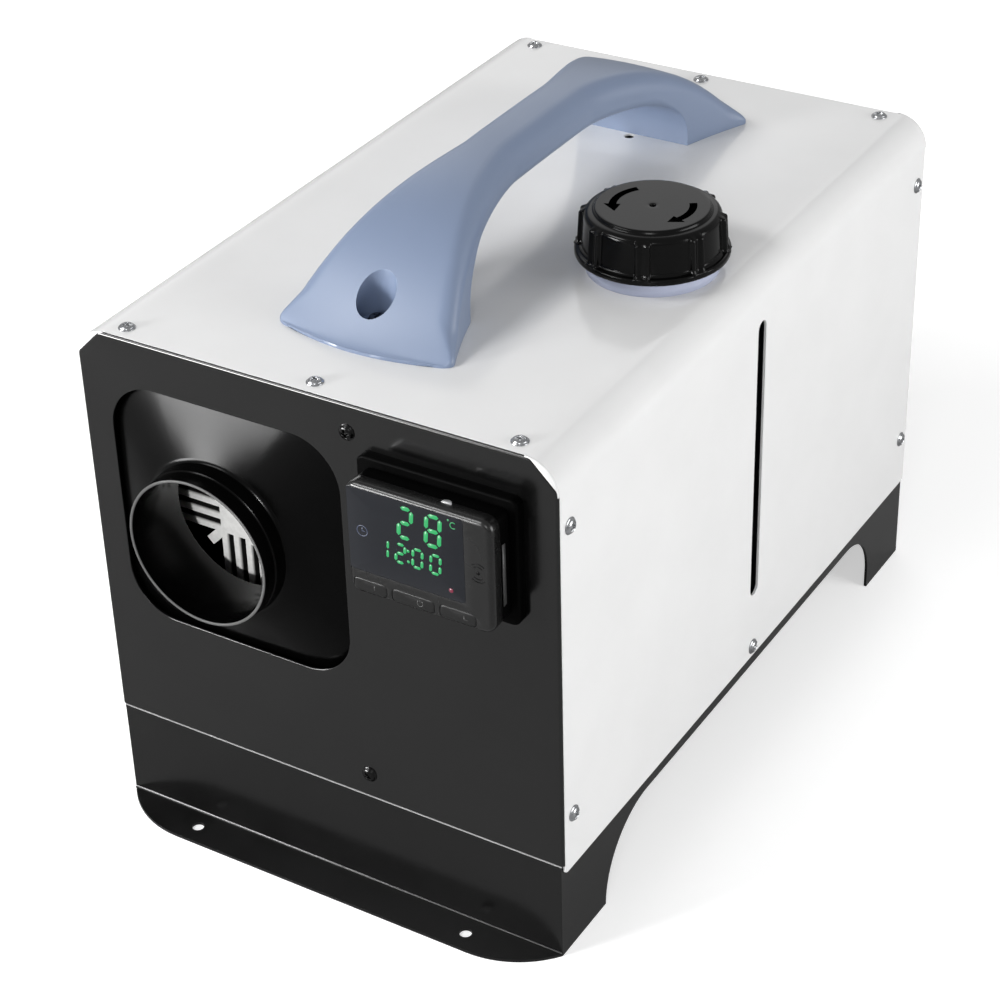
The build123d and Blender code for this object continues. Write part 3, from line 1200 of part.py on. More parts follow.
def fuel_filter():
    """Inline filter between the tank and the pump."""
    body = rod_x(FILTER_RADIUS, filter_left, filter_right, PUMP_Y, outlet_z)
    body = fillet(body.edges().filter_by(GeomType.CIRCLE), FILTER_EDGE)
    left = filter_left - FILTER_NIPPLE
    right = filter_right + FILTER_NIPPLE
    body += rod_x(NIPPLE_RADIUS, left, right, PUMP_Y, outlet_z)
    return body - rod_x(NIPPLE_BORE, left - 1, right + 1, PUMP_Y, outlet_z)


def hose_routes():
    """Points of the three fuel hoses: tank to filter, filter to pump, pump to core."""
    outlet = TANK_REAR + NIPPLE_LENGTH - HOSE_LAP
    filter_lap = FILTER_NIPPLE - HOSE_LAP
    pump_lap = NIPPLE_LENGTH - HOSE_LAP
    below = PUMP_LOW - PUMP_HOSE_DROP
    above = PUMP_HIGH + PUMP_HOSE_RISE
    return {
        "fuel_hose_tank": [
            (outlet_x, outlet, outlet_z),
            (outlet_x, PUMP_Y, outlet_z),
            (filter_left - filter_lap, PUMP_Y, outlet_z),
        ],
        "fuel_hose_pump": [
            (filter_right + filter_lap, PUMP_Y, outlet_z),
            (pump_hose_x, PUMP_Y, outlet_z),
            (pump_hose_x, PUMP_Y, below),
            (pump_x, PUMP_Y, below),
            (pump_x, PUMP_Y, PUMP_LOW - pump_lap),
        ],
        "fuel_hose_heater": [
            (pump_x, PUMP_Y, PUMP_HIGH + pump_lap),
            (pump_x, PUMP_Y, above),
            (fuel_line_x, fuel_line_y, above),
            (fuel_line_x, fuel_line_y, fuel_line_z),
            (core_x, fuel_line_y, fuel_line_z),
            (core_x, nipple_y(), fuel_line_z),
            (core_x, nipple_y(), core_hose_top),
        ],
    }


def fuel_hose(name):
    """One rubber fuel hose with its bore."""
    return swept_tube(hose_routes()[name], HOSE_BEND, HOSE_RADIUS, hose_bore)


def fuel_nipple():
    """Brass nipple under the exchanger's foot."""
    low = core_hose_top - HOSE_LAP
    high = foot_seat + NIPPLE_INSERT
    nipple = rod_z(NIPPLE_RADIUS, low, high, core_x, nipple_y())
    return nipple - rod_z(NIPPLE_BORE, low - 1, high + 1, core_x, nipple_y())


def hose_clamps():
    """Spring clamps on the hose ends at the tank, the pump and the core."""
    outer = HOSE_RADIUS + HOSE_GAP + CLAMP_WALL
    inner = HOSE_RADIUS + HOSE_GAP
    lap = NIPPLE_LENGTH - HOSE_LAP
    low = TANK_REAR + lap + CLAMP_INSET
    clamp = rod_y(outer, low, low + CLAMP_WIDTH, outlet_x, outlet_z)
    clamps = [clamp - rod_y(inner, low - 1, low + CLAMP_WIDTH + 1, outlet_x, outlet_z)]
    pump_ends = (PUMP_LOW - lap - CLAMP_INSET - CLAMP_WIDTH, PUMP_HIGH + lap + CLAMP_INSET)
    ends = [(pump_x, PUMP_Y, z) for z in pump_ends]
    ends.append((core_x, nipple_y(), core_hose_top - CLAMP_INSET - CLAMP_WIDTH))
    for x, y, z in ends:
        ring = rod_z(outer, z, z + CLAMP_WIDTH, x, y)
        clamps.append(ring - rod_z(inner, z - 1, z + CLAMP_WIDTH + 1, x, y))
    return group(clamps)


# ---- electrics -----------------------------------------------------------------------
def power_gland():
    """Gland in the rear panel where the power lead comes out."""
    body = rod_y(GLAND_RADIUS, rear_y, rear_y + GLAND_REACH, gland_x, gland_z)
    body = fillet(body.edges().filter_by(GeomType.CIRCLE).group_by(Axis.Y)[-1], GLAND_EDGE)
    inner_end = rear_inner - GLAND_THREAD_LENGTH
    body += rod_y(GLAND_THREAD, inner_end, rear_y + 1, gland_x, gland_z)
    return body - rod_y(GLAND_BORE, inner_end - 1, rear_y + GLAND_REACH + 1, gland_x, gland_z)


def gland_nut():
    """Hexagonal nut on the gland, inside the panel."""
    blank = Plane(origin=(gland_x, rear_inner, gland_z), x_dir=(1, 0, 0), z_dir=(0, -1, 0))
    nut = extrude(blank * RegularPolygon(GLAND_RADIUS, 6), amount=GLAND_NUT_HEIGHT)
    bore = GLAND_THREAD + NUT_CLEARANCE
    return nut - rod_y(bore, rear_inner - GLAND_NUT_HEIGHT - 1, rear_inner + 1, gland_x, gland_z)


def wiring_loom():
    """Loom from the controller over the case to the control module."""
    points = [
        (control_x, front_y, control_z),
        (control_x, LOOM_Y, control_z),
        (control_x, LOOM_Y, loom_height),
        (loom_x, LOOM_Y, loom_height),
        (loom_x, MODULE_Y, loom_height),
        (loom_x, MODULE_Y, module_top),
    ]
    return swept_tube(points, HOSE_BEND, LOOM_RADIUS, 0)


# ---- nodes ---------------------------------------------------------------------------
def nodes():
    """Every node by name."""
    cover_places = cover_screw_places()
    panel_places = panel_screw_places()
    cover_stack = COVER_SHEET + COVER_GAP + PANEL_SHEET
    parts = {
        "cover": cover(),
        "front_panel": front_panel(),
        "rear_panel": rear_panel(),
        "base_frame": base_frame(),
        "divider": divider(),
        "cover_screws": screw_set(cover_places, SCREW_LENGTH),
        "cover_nuts": nut_set(cover_places, cover_stack),
        "panel_screws": screw_set(panel_places, SCREW_LENGTH),
        "panel_nuts": nut_set(panel_places, 2 * PANEL_SHEET),
        "handle": handle(),
        "handle_screws": handle_screws(),
        "handle_nuts": handle_nuts(),
        "fuel_tank": fuel_tank(),
        "tank_pads": tank_pads(),
        "tank_strap": tank_strap(),
        "filler_collar": filler_collar(),
        "cap": cap(),
        "cap_gasket": cap_gasket(),
        "cap_breather": cap_breather(),
        "outlet_hood": outlet_hood(),
        "heater_case_upper": heater_case_upper(),
        "heater_case_lower": heater_case_lower(),
        "inlet_duct": inlet_duct(),
        "intake_grille": intake_grille(),
        "heat_exchanger": heat_exchanger(),
        "burner_tube": burner_tube(),
        "glow_plug": glow_plug(),
        "blower_housing": blower_housing(),
        "motor": motor(),
        "rotor_shaft": rotor_shaft(),
        "combustion_fan": combustion_fan(),
        "warm_air_fan": warm_air_fan(),
        "control_module": control_module(),
        "heater_shelf": heater_shelf(),
        "foot_gasket": foot_gasket(),
        "heater_studs": heater_studs(),
        "heater_nuts": heater_nuts(),
        "exhaust_pipe": core_pipe(EXHAUST_RADIUS, exhaust_x),
        "air_intake_pipe": core_pipe(AIR_PIPE_RADIUS, air_x),
        "controller_front": controller_front(),
        "controller_back": controller_back(),
        "controller_cradle": controller_cradle(),
        "display_glass": display_glass(),
        "display_board": display_board(),
        "button_left": button(*BUTTON_SPANS[0]),
        "button_power": button(*BUTTON_SPANS[1]),
        "button_right": button(*BUTTON_SPANS[2]),
        "fuel_pump": fuel_pump(),
        "pump_plunger": pump_plunger(),
        "pump_spring": pump_spring(),
        "pump_clip": pump_clip(),
        "fuel_filter": fuel_filter(),
        "fuel_nipple": fuel_nipple(),
        "hose_clamps": hose_clamps(),
        "power_gland": power_gland(),
        "gland_nut": gland_nut(),
        "wiring_loom": wiring_loom(),
    }
    for name in hose_routes():
        parts[name] = fuel_hose(name)
    return parts


os.makedirs("parts", exist_ok=True)
for name, shape in nodes().items():
    export_step(shape, f"parts/{name}.step")
    print(name, len(shape.solids()), round(shape.volume))
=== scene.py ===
# %% [markdown]
# # A portable diesel air heater
#
# The real object is a white powder-coated steel cover over a black steel base. A blue-grey handle
# arches over it, a screw cap closes the fuel tank, and the hot air leaves through a black hood in
# the front panel, next to a small display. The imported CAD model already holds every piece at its
# true place and size. This script keeps that frame and adds what a drawing leaves out: soft
# edges, moulded curves and finishes that light can play on.
#
# Every shape is written in millimetres, as a drawing is, and turned to metres on its way into a
# mesh. X goes to the right, Y to the back and Z up from the ground, and x 0 and y 0 are the
# middle of the cabinet. The camera, the lamps and the floor are written in metres.

# %% Load the frame
import json
import math

import bmesh
import bpy
import numpy as np
from mathutils import Matrix, Vector


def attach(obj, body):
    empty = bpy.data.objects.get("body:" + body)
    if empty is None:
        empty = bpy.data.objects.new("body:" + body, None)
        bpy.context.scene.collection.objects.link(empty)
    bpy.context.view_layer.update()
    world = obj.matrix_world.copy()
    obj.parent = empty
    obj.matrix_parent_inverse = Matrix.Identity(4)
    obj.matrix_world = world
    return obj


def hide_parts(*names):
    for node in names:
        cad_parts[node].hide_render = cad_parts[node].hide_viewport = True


MM = 0.001
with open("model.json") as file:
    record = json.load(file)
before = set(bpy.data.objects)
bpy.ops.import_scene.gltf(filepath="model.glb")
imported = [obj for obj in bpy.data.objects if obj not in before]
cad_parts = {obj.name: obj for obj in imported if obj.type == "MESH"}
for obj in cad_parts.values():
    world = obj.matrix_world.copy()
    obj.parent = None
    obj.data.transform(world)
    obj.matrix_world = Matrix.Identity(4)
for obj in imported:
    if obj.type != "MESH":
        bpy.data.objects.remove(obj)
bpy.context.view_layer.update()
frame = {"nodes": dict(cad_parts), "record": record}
nodes = frame["nodes"]
body_of = {name: body for body, names in frame["record"]["behaviour"]["bodies"].items()
           for name in names}
slot_of = {part["node"]: part["material_slot"] for part in frame["record"]["subparts"]}

# %% [markdown]
# ## Camera
#
# The product picture was taken from the front right and above, with a long lens. A long lens
# keeps parallel edges nearly parallel, which is why such pictures look calm. The camera's three
# directions are written out as unit vectors, because that is exact and needs no angles. A small
# shift slides the picture on the sensor without turning the camera.

# %% Camera
camera = bpy.data.objects.new("camera", bpy.data.cameras.new("camera"))
bpy.context.scene.collection.objects.link(camera)
right = Vector((0.850153, 0.525401, -0.034537))
ahead = Vector((-0.462000, 0.712881, -0.527595))
above = right.cross(ahead)
camera.matrix_world = Matrix((
    (right.x, above.x, -ahead.x, 0.561962),
    (right.y, above.y, -ahead.y, -0.938437),
    (right.z, above.z, -ahead.z, 0.809266),
    (0, 0, 0, 1)))
camera.data.sensor_width = 36
camera.data.lens = 91.23
camera.data.shift_x = 0.04268
camera.data.shift_y = -0.04168
bpy.context.scene.camera = camera
bpy.context.scene.view_settings.view_transform = "Standard"
print("camera at", [round(v, 3) for v in camera.matrix_world.translation])

# %% [markdown]
# ## Helpers for materials
#
# Colours are picked on a screen, so they are written as screen (sRGB) hex values, while
# the renderer adds up light in linear values. One function turns the first into the second.
# Others set or link whatever a shader node is given, so that a material reads as a short list of
# nodes. The last three add the nodes that come back most: a ramp, a mix of two colours, a sum.


# %% Colour and node helpers
def linear(code):
    """Screen hex to linear colour: each channel over 255, with the sRGB curve undone."""
    channel = np.array([int(code[i:i + 2], 16) for i in (1, 3, 5)]) / 255
    low, high = channel / 12.92, ((channel + 0.055) / 1.055) ** 2.4
    return (*np.where(channel <= 0.04045, low, high).tolist(), 1.0)


def wire(tree, node, inputs):
    """Gives each named socket of a node its value, or links it where a socket is given."""
    for socket, value in inputs.items():
        if isinstance(value, bpy.types.NodeSocket):
            tree.links.new(value, node.inputs[socket])
        else:
            node.inputs[socket].default_value = value


def add(tree, kind, settings=None, inputs=None):
    """Adds one node; settings are its fields, inputs its sockets."""
    node = tree.nodes.new(kind)
    for field, value in (settings or {}).items():
        setattr(node, field, value)
    wire(tree, node, inputs or {})
    return node


def ramp(tree, value, start, end, low=0.0, high=1.0, kind="LINEAR"):
    """Low where value is at start, high where it is at end, and level beyond both."""
    node = add(tree, "ShaderNodeMapRange", {"interpolation_type": kind}, {
        "Value": value, "From Min": start, "From Max": end, "To Min": low, "To Max": high})
    return node.outputs["Result"]


def mix(tree, amount, colour, second):
    """The first colour where amount is 0, the second where it is 1."""
    node = add(tree, "ShaderNodeMix", {"data_type": "RGBA"}, {0: amount, 6: colour, 7: second})
    return node.outputs[2]


def sums(tree, operation, *values, clamp=False):
    """One operation on numbers or sockets; clamp keeps its result between 0 and 1."""
    node = add(tree, "ShaderNodeMath", {"operation": operation, "use_clamp": clamp},
               dict(enumerate(values)))
    return node.outputs[0]


def per_metre(millimetres):
    """Noise scale whose features are about that many millimetres apart."""
    return 1 / (millimetres * MM)


print("white as linear light:", linear("#FFFFFF"), "mid grey:", linear("#808080")[0])

# %% [markdown]
# ## The common ground of a finish
#
# Nearly every surface has three things: a colour that drifts a little from place to place, a
# gloss that drifts with it, and a fine relief too small to model. The function below builds that
# ground. Each finish then differs in its numbers, which come from the real process: how far
# apart the grains of a moulding tool or of casting sand lie, and how deep they are. A second
# function paints light and shade into a colour along one axis: painted highlights on two edges
# and painted shade deep in the casting.


# %% Common finish
def finish(name, colour, second, patch_mm, rough, rough_second, grain_mm, grain_depth_mm,
           specular=0.5, metallic=0.0):
    """A material whose colour and roughness drift between two values over patch_mm, and whose
    normals carry a noise relief of grain_mm pitch and grain_depth_mm height."""
    material = bpy.data.materials.new(name)
    material.use_nodes = True
    tree = material.node_tree
    place = add(tree, "ShaderNodeTexCoord").outputs["Object"]
    patches = add(tree, "ShaderNodeTexNoise", {}, {
        "Vector": place, "Scale": per_metre(patch_mm), "Detail": 3.0})
    drift = ramp(tree, patches.outputs["Fac"], 0.15, 0.85, kind="SMOOTHSTEP")
    grain = add(tree, "ShaderNodeTexNoise", {}, {
        "Vector": place, "Scale": per_metre(grain_mm), "Detail": 2.0})
    relief = add(tree, "ShaderNodeBump", {}, {
        "Height": grain.outputs["Fac"], "Strength": 1.0, "Distance": grain_depth_mm * MM})
    wire(tree, tree.nodes["Principled BSDF"], {
        "Base Color": mix(tree, drift, linear(colour), linear(second)),
        "Roughness": ramp(tree, drift, 0, 1, rough, rough_second),
        "Normal": relief.outputs["Normal"],
        "Specular IOR Level": specular, "Metallic": metallic})
    return material


def paint_light_and_shade_along(material, axis, start_mm, end_mm, code):
    """Painted light and shade: a finish's colour turns into another between two places along X, Y
    or Z.
    """
    tree = material.node_tree
    place = tree.nodes["Texture Coordinate"].outputs["Object"]
    along = add(tree, "ShaderNodeSeparateXYZ", {}, {"Vector": place}).outputs[axis]
    amount = ramp(tree, along, start_mm * MM, end_mm * MM)
    wire(tree, tree.nodes["Principled BSDF"], {
        "Base Color": mix(tree, amount, tree.nodes["Mix"].outputs[2], linear(code))})


# %% [markdown]
# ## Painted steel
#
# Powder coat is plastic dust melted onto the sheet. It flows out smooth but never quite flat:
# soft waves about 2 mm apart, the orange peel, make reflections swim a little. The cover is a
# glossy pale white. The panels are a deep black of the same kind, so nearly all their grey is
# the white room mirrored in them. The base is dipped in a duller black. A pale line is painted
# into its colour along the cut top edge: a painted highlight, the line of light that edge catches.

# %% Painted steel
finish_of = {
    "white_powder_coat": finish(
        "white_powder_coat_on_steel", "#E6E6E6", "#E2E2E2", 40, 0.13, 0.17, 2.0, 0.008),
    "black_powder_coat": finish(
        "black_powder_coat_on_steel", "#060606", "#080808", 30, 0.14, 0.19, 2.0, 0.008, 0.46)}
dip_coat_and_edge_highlight = finish(
    "black_dip_coat_painted_edge_highlight", "#050505", "#070707", 30, 0.16, 0.22, 2.0, 0.010, 0.34)
# Painted highlight: the base turns pale grey in its top 0.2 mm, the line of light along its top
# edge.
paint_light_and_shade_along(dip_coat_and_edge_highlight, "Z", 52.7, 52.9, "#9A9A9A")
print("painted:", *finish_of, dip_coat_and_edge_highlight.name)

# %% [markdown]
# ## Moulded plastics
#
# The handle is ABS with a fine spark-eroded texture, so it looks soft and matt, and its blue-grey
# stays even. The cap is polypropylene from a polished tool: black and wet-looking on its skirt.
# The hood round the outlet is a satin black that only shines where a lamp grazes it. Its
# collar's rounded front rim is painted grey: a painted highlight, the line of light the rim
# catches. The controller's case is a fine-grained grey-black.

# %% Moulded plastics
finish_of |= {
    "blue_plastic": finish(
        "blue_grey_abs_spark_eroded", "#75839C", "#717F98", 60, 0.36, 0.42, 0.45, 0.008, 0.6),
    "gloss_black": finish(
        "black_polypropylene_polished", "#040404", "#060606", 20, 0.14, 0.22, 1.2, 0.006, 0.14),
    "hood_black": finish(
        "black_nylon_satin_painted_rim_highlight", "#020202", "#030303", 25, 0.2, 0.24, 0.6, 0.012, 0.065),
    "controller_black": finish(
        "charcoal_abs_fine_texture", "#0A0A0A", "#0D0D0D", 15, 0.24, 0.3, 0.5, 0.003, 0.45)}
# Painted highlight: the collar's front rim turns grey, the line of light along its round.
paint_light_and_shade_along(finish_of["hood_black"], "Y", -211.4, -211.8, "#545454")
collar_plastic = finish(
    "lilac_blue_abs_polished", "#ADB3C8", "#A9AFC4", 30, 0.3, 0.36, 0.6, 0.004)
# Painted shade: the controller's back and cradle get this darker copy of its black, with almost no
# reflection, so that they read as lying in shade.
back_painted_shade = finish(
    "black_abs_painted_shade_back", "#020202", "#040404", 15, 0.45, 0.55, 0.5, 0.006, 0.02)
key_black = finish(
    "charcoal_silicone_keys", "#0B0B0B", "#0E0E0E", 10, 0.32, 0.4, 0.35, 0.006, 0.3)
arrow_black = finish(
    "black_polypropylene_raised_print", "#030303", "#040404", 8, 0.5, 0.6, 0.5, 0.01, 0.2)
mark_black = finish("black_pad_print", "#040404", "#050505", 5, 0.5, 0.6, 0.4, 0.004, 0.1)
mark_grey = finish("grey_pad_print", "#333333", "#3B3B3B", 5, 0.4, 0.5, 0.4, 0.004)
sensor_clear = finish("clear_acrylic_lens", "#B9BABB", "#C6C7C8", 3, 0.15, 0.22, 0.8, 0.01)
print("moulded:", len(bpy.data.materials), "materials so far")

# %% [markdown]
# ## Bare and plated metals
#
# Sand-cast aluminium keeps the print of the sand, about a millimetre across, and stays pale and
# rough. Only the trimmed front of the casting, at y -148, keeps that pale colour: from 0.5 to 1.8
# mm behind it the colour darkens to near black, painted shade for the shaded flanks of the fins.
# Zinc plating on pressed screws is bright with a slightly milky drift. A bare metal's colour is
# its reflection, so its metallic is 1 and the default IOR stays. The black screws show their
# oxide skin. The screws deep in the handle's holes are a dark blue-grey, painted shade for the
# shaded bottom of each hole.

# %% Metals
finish_of |= {
    "cast_aluminium": finish(
        "aluminium_sand_cast_painted_fin_shade", "#F4F4F2", "#E0E0DE", 3, 0.5, 0.65, 0.9, 0.12, metallic=0.2),
    "zinc_steel": finish(
        "steel_bright_zinc_plated", "#B9BABC", "#8E9093", 2, 0.16, 0.3, 0.8, 0.008, metallic=1.0),
    "black_screw": finish(
        "steel_black_oxide", "#030303", "#050505", 3, 0.12, 0.18, 0.7, 0.006, 0.22),
    "hot_steel": finish(
        "stainless_steel_heat_tinted", "#9A8B78", "#7C7F8C", 9, 0.3, 0.45, 0.6, 0.02,
        metallic=1.0),
    "steel_pipe": finish(
        "steel_tube_drawn", "#B9B9B8", "#A6A6A6", 8, 0.25, 0.38, 0.5, 0.01, metallic=1.0),
    "brass": finish(
        "brass_turned", "#C9A55A", "#B8944C", 5, 0.25, 0.35, 0.4, 0.01, metallic=1.0)}
# Painted shade: the casting darkens from 0.5 to 1.8 mm behind its front, the shade on its fins'
# flanks.
paint_light_and_shade_along(finish_of["cast_aluminium"], "Y", -147.5, -146.2, "#0B0B0A")
# Painted shade: the handle's screws are a dark blue-grey that stands for the shade deep in their
# holes.
hole_shade_screw = finish(
    "steel_painted_hole_shade", "#1E2430", "#262D3B", 3, 0.4, 0.5, 0.7, 0.006, 0.2)
print("slots so far:", *finish_of)

# %% [markdown]
# ## Pieces inside and below
#
# The tank is blow-moulded polyethylene, waxy and slightly wavy. Hoses and seals are matt rubber.
# The control module is potted green-black resin, the gasket pressed mineral fibre. Every CAD node
# takes the finish of its slot, except the few that the photograph shows otherwise.

# %% Inner materials
finish_of |= {
    "black_tank": finish(
        "polyethylene_blow_moulded", "#1C1C1D", "#222223", 25, 0.45, 0.55, 6.0, 0.12),
    "rubber": finish("rubber_extruded_matt", "#131313", "#191919", 8, 0.6, 0.75, 0.6, 0.02),
    "module_green": finish(
        "resin_potted_electronics", "#23302A", "#1C2823", 10, 0.35, 0.5, 1.5, 0.03),
    "circuit_board": finish(
        "glass_fibre_board_green", "#1F5A37", "#1A4F30", 4, 0.35, 0.45, 0.8, 0.01),
    "gasket_fibre": finish(
        "mineral_fibre_pressed", "#8D867A", "#7B756B", 3, 0.85, 0.95, 0.5, 0.08),
    "filter_clear": finish(
        "polyamide_clear_moulded", "#D8D6CC", "#D2D0C4", 8, 0.1, 0.18, 2.0, 0.01),
    "smoked_glass": finish(
        "acrylic_dark_window", "#14161B", "#16181D", 20, 0.06, 0.09, 12.0, 0.004, 0.3)}
tree = finish_of["filter_clear"].node_tree
wire(tree, tree.nodes["Principled BSDF"], {"Transmission Weight": 0.75, "IOR": 1.5})
for name, node in nodes.items():
    node.data.materials[0] = finish_of[slot_of[name]]
# Painted shade on the controller's back and cradle, and on the screws deep in the handle's holes.
for name, material in {"controller_back": back_painted_shade, "controller_cradle": back_painted_shade,
                       "base_frame": dip_coat_and_edge_highlight, "handle_screws": hole_shade_screw}.items():
    nodes[name].data.materials[0] = material
print(len(nodes), "nodes take their finish from", len(finish_of), "slots")

# %% [markdown]
# ## How a surface becomes a mesh
#
# A smooth shape is a function of two parameters. Worked out on a grid, it is one array of
# points, and the faces follow from counting rows and columns. Here every row is a closed ring,
# so its last point joins its first. Points that fall together, as at a pole, are merged, and
# then the faces are turned outwards.


# %% Grid to mesh
def ring_faces(points, wrap_rows=False):
    """Quads between neighbouring points of a stack of closed rings, numbered ring by ring;
    wrap_rows also joins the last ring to the first."""
    rows, columns = points.shape[:2]
    row, column = np.meshgrid(np.arange(rows - (not wrap_rows)), np.arange(columns),
                              indexing="ij")
    down, across = (row + 1) % rows, (column + 1) % columns
    corners = (row * columns + column, row * columns + across,
               down * columns + across, down * columns + column)
    return np.stack(corners, -1).reshape(-1, 4).tolist()


def put(name, mesh, material, body, stands_for):
    """Shows a mesh as a smooth piece that rides on a body and stands for some CAD nodes."""
    mesh.shade_smooth()
    mesh.materials.append(material)
    piece = bpy.data.objects.new(name, mesh)
    bpy.context.scene.collection.objects.link(piece)
    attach(piece, body)
    if stands_for:
        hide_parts(*stands_for)
    print(f"{name}: {len(mesh.vertices)} points, {len(mesh.polygons)} faces")
    return piece


def make_piece(name, points, faces, slot, material=None, body="heater", stands_for=()):
    """A piece from points in millimetres: doubles merged, faces turned outwards. It takes the
    finish of its slot, unless a material is given."""
    mesh = bpy.data.meshes.new(name)
    mesh.from_pydata((np.asarray(points).reshape(-1, 3) * MM).tolist(), [], faces)
    work = bmesh.new()
    work.from_mesh(mesh)
    bmesh.ops.remove_doubles(work, verts=work.verts, dist=1e-6)
    bmesh.ops.recalc_face_normals(work, faces=work.faces)
    work.to_mesh(mesh)
    work.free()
    return put(name, mesh, material or finish_of[slot], body, stands_for)


# %% [markdown]
# ## Sheet metal and plain castings
#
# A pressed sheet's shape is already right in the CAD model. What it lacks is the small radius
# that every real edge has, and which catches a thin line of light. Each copy's loose triangles
# are merged, its flat faces joined, and a Bevel modifier rounds only the sharp edges.


# %% Copies with soft edges
def rounded(piece, width_mm, segments, **settings):
    """Adds a Bevel modifier of that width; settings are its other fields."""
    bevel = piece.modifiers.new("edge", "BEVEL")
    bevel.width, bevel.segments = width_mm * MM, segments
    for field, value in settings.items():
        setattr(bevel, field, value)


def dressed(node, width_mm, reach_mm=1000):
    """A copy of a CAD node: triangles merged and flats joined, sharp edges rounded to width_mm,
    and nothing farther than reach_mm along Y from the middle."""
    source = nodes[node].data
    points = np.zeros(len(source.vertices) * 3)
    source.vertices.foreach_get("co", points)
    corners = np.zeros(len(source.loops), np.int32)
    source.loops.foreach_get("vertex_index", corners)
    points = points.reshape(-1, 3)
    points[:, 1] = np.clip(points[:, 1], -reach_mm * MM, reach_mm * MM)
    mesh = bpy.data.meshes.new(node + "_soft")
    mesh.from_pydata(points.tolist(), [], corners.reshape(-1, 3).tolist())
    work = bmesh.new()
    work.from_mesh(mesh)
    bmesh.ops.remove_doubles(work, verts=work.verts, dist=2e-6)
    bmesh.ops.dissolve_limit(work, angle_limit=math.radians(0.4), verts=work.verts,
                             edges=work.edges)
    work.to_mesh(mesh)
    work.free()
    piece = put(node + "_soft", mesh, source.materials[0], body_of[node], [node])
    rounded(piece, width_mm, 2, limit_method="ANGLE", angle_limit=math.radians(35),
            use_clamp_overlap=True, harden_normals=True)


dressed("cover", 0.35, 188.8)
for node, width in {"base_frame": 0.7, "controller_back": 0.4, "controller_cradle": 0.4,
                    "heat_exchanger": 0.6, "intake_grille": 0.3}.items():
    dressed(node, width)

# %% [markdown]
# ## Bends of the base
#
# The base's flanges are folded out of its end walls, and folded sheet has a hollow round on the
# inside of the bend, about as large as the sheet is thick. It mirrors a thin line of light. Each
# is a long quarter round that fills the corner between wall and flange and is sunk a little into
# the sheet.


# %% Hollow rounds
END_WALL, FLANGE_TOP, HALF_LENGTH, SUNK = 190, 1.5, 123.3, 0.3


def bend_points(side, radius=1.0):
    """Two rings, one at each end along X: a hollow quarter round from the end wall down to the
    flange's top, closed a little way inside the sheet."""
    turn = np.radians(np.linspace(0, 90, 9))
    inside, below = END_WALL - SUNK, FLANGE_TOP - SUNK
    y = np.append(END_WALL + radius * (1 - np.cos(turn)), [END_WALL + radius, inside, inside])
    z = np.append(FLANGE_TOP + radius * (1 - np.sin(turn)), [below, below, FLANGE_TOP + radius])
    x = np.array([[-HALF_LENGTH], [HALF_LENGTH]])
    return np.stack([x + 0 * y, side * y + 0 * x, z + 0 * x], -1)


for name, side in {"base_bend_front": -1, "base_bend_rear": 1}.items():
    points = bend_points(side)
    columns = points.shape[1]
    faces = ring_faces(points) + [list(range(columns)), list(range(columns, 2 * columns))]
    bend = make_piece(name, points, faces, slot_of["base_frame"], dip_coat_and_edge_highlight)
    bend.data.set_sharp_from_angle(angle=math.radians(30))

# %% [markdown]
# ## Rounded rectangles
#
# A loft between two outlines is easy when both are given as a radius in each direction from the
# same centre. For a rounded rectangle that radius has a short formula, and much of this object is
# rounded rectangles: the openings, the keys, the controller, and the root of the outlet hood.


# %% Rounded rectangle as a radius
def square_radius(angle, half_x, half_z, corner):
    """Distance from the centre to a rounded rectangle's edge along each direction: to the
    upright side, the level side, or the corner's circle, whichever the ray meets."""
    c, s = np.abs(np.cos(angle)) + 1e-9, np.abs(np.sin(angle)) + 1e-9
    to_side, to_top = half_x / c, half_z / s
    k = (half_x - corner) * c + (half_z - corner) * s
    away = (half_x - corner) ** 2 + (half_z - corner) ** 2
    to_corner = k + np.sqrt(np.maximum(k * k - away + corner ** 2, 0))
    straight = np.where(to_side * s <= half_z - corner, to_side, to_top)
    on_corner = (straight * s > half_z - corner) & (straight * c > half_x - corner)
    return np.where(on_corner, to_corner, straight)


print("diagonal reach of the hood:", square_radius(np.array([0.8]), 67, 70, 30))

# %% [markdown]
# ## End panels
#
# Each end of the cabinet is a sheet with an opening, cut top corners and edges folded back into
# the cover. The fold is what one sees: its small round edge draws a bright line along the top. The
# panel is a loft of closed outlines, each a little farther in than the last: back along the
# fold, round it, over the face, into the opening, and back along the inside.


# %% Panel outline
def filleted(corners, radii, counts):
    """A polygon with round corners: at each corner an arc that touches both sides, seven points,
    then counts points along the straight side that follows."""
    corners, loop = np.asarray(corners, float), []
    for i, radius in enumerate(radii):
        to_last, to_next = corners[i - 1] - corners[i], corners[(i + 1) % len(radii)] - corners[i]
        to_last, to_next = to_last / np.hypot(*to_last), to_next / np.hypot(*to_next)
        half = math.acos(float(to_last @ to_next)) / 2
        centre = corners[i] + (to_last + to_next) / np.hypot(*(to_last + to_next)) * (
            radius / math.sin(half))
        start, end = (corners[i] + way * radius / math.tan(half) for way in (to_last, to_next))
        a0, a1 = (math.atan2(*(point - centre)[::-1]) for point in (start, end))
        sweep = (a1 - a0 + math.pi) % (2 * math.pi) - math.pi
        turn = a0 + sweep * np.linspace(0, 1, 7)
        loop.append(centre + radius * np.stack([np.cos(turn), np.sin(turn)], -1))
    straights = [a[-1] + (b[0] - a[-1]) * np.linspace(0, 1, n + 2)[1:-1, None]
                 for a, b, n in zip(loop, loop[1:] + loop[:1], counts)]
    return np.concatenate([part for pair in zip(loop, straights) for part in pair])


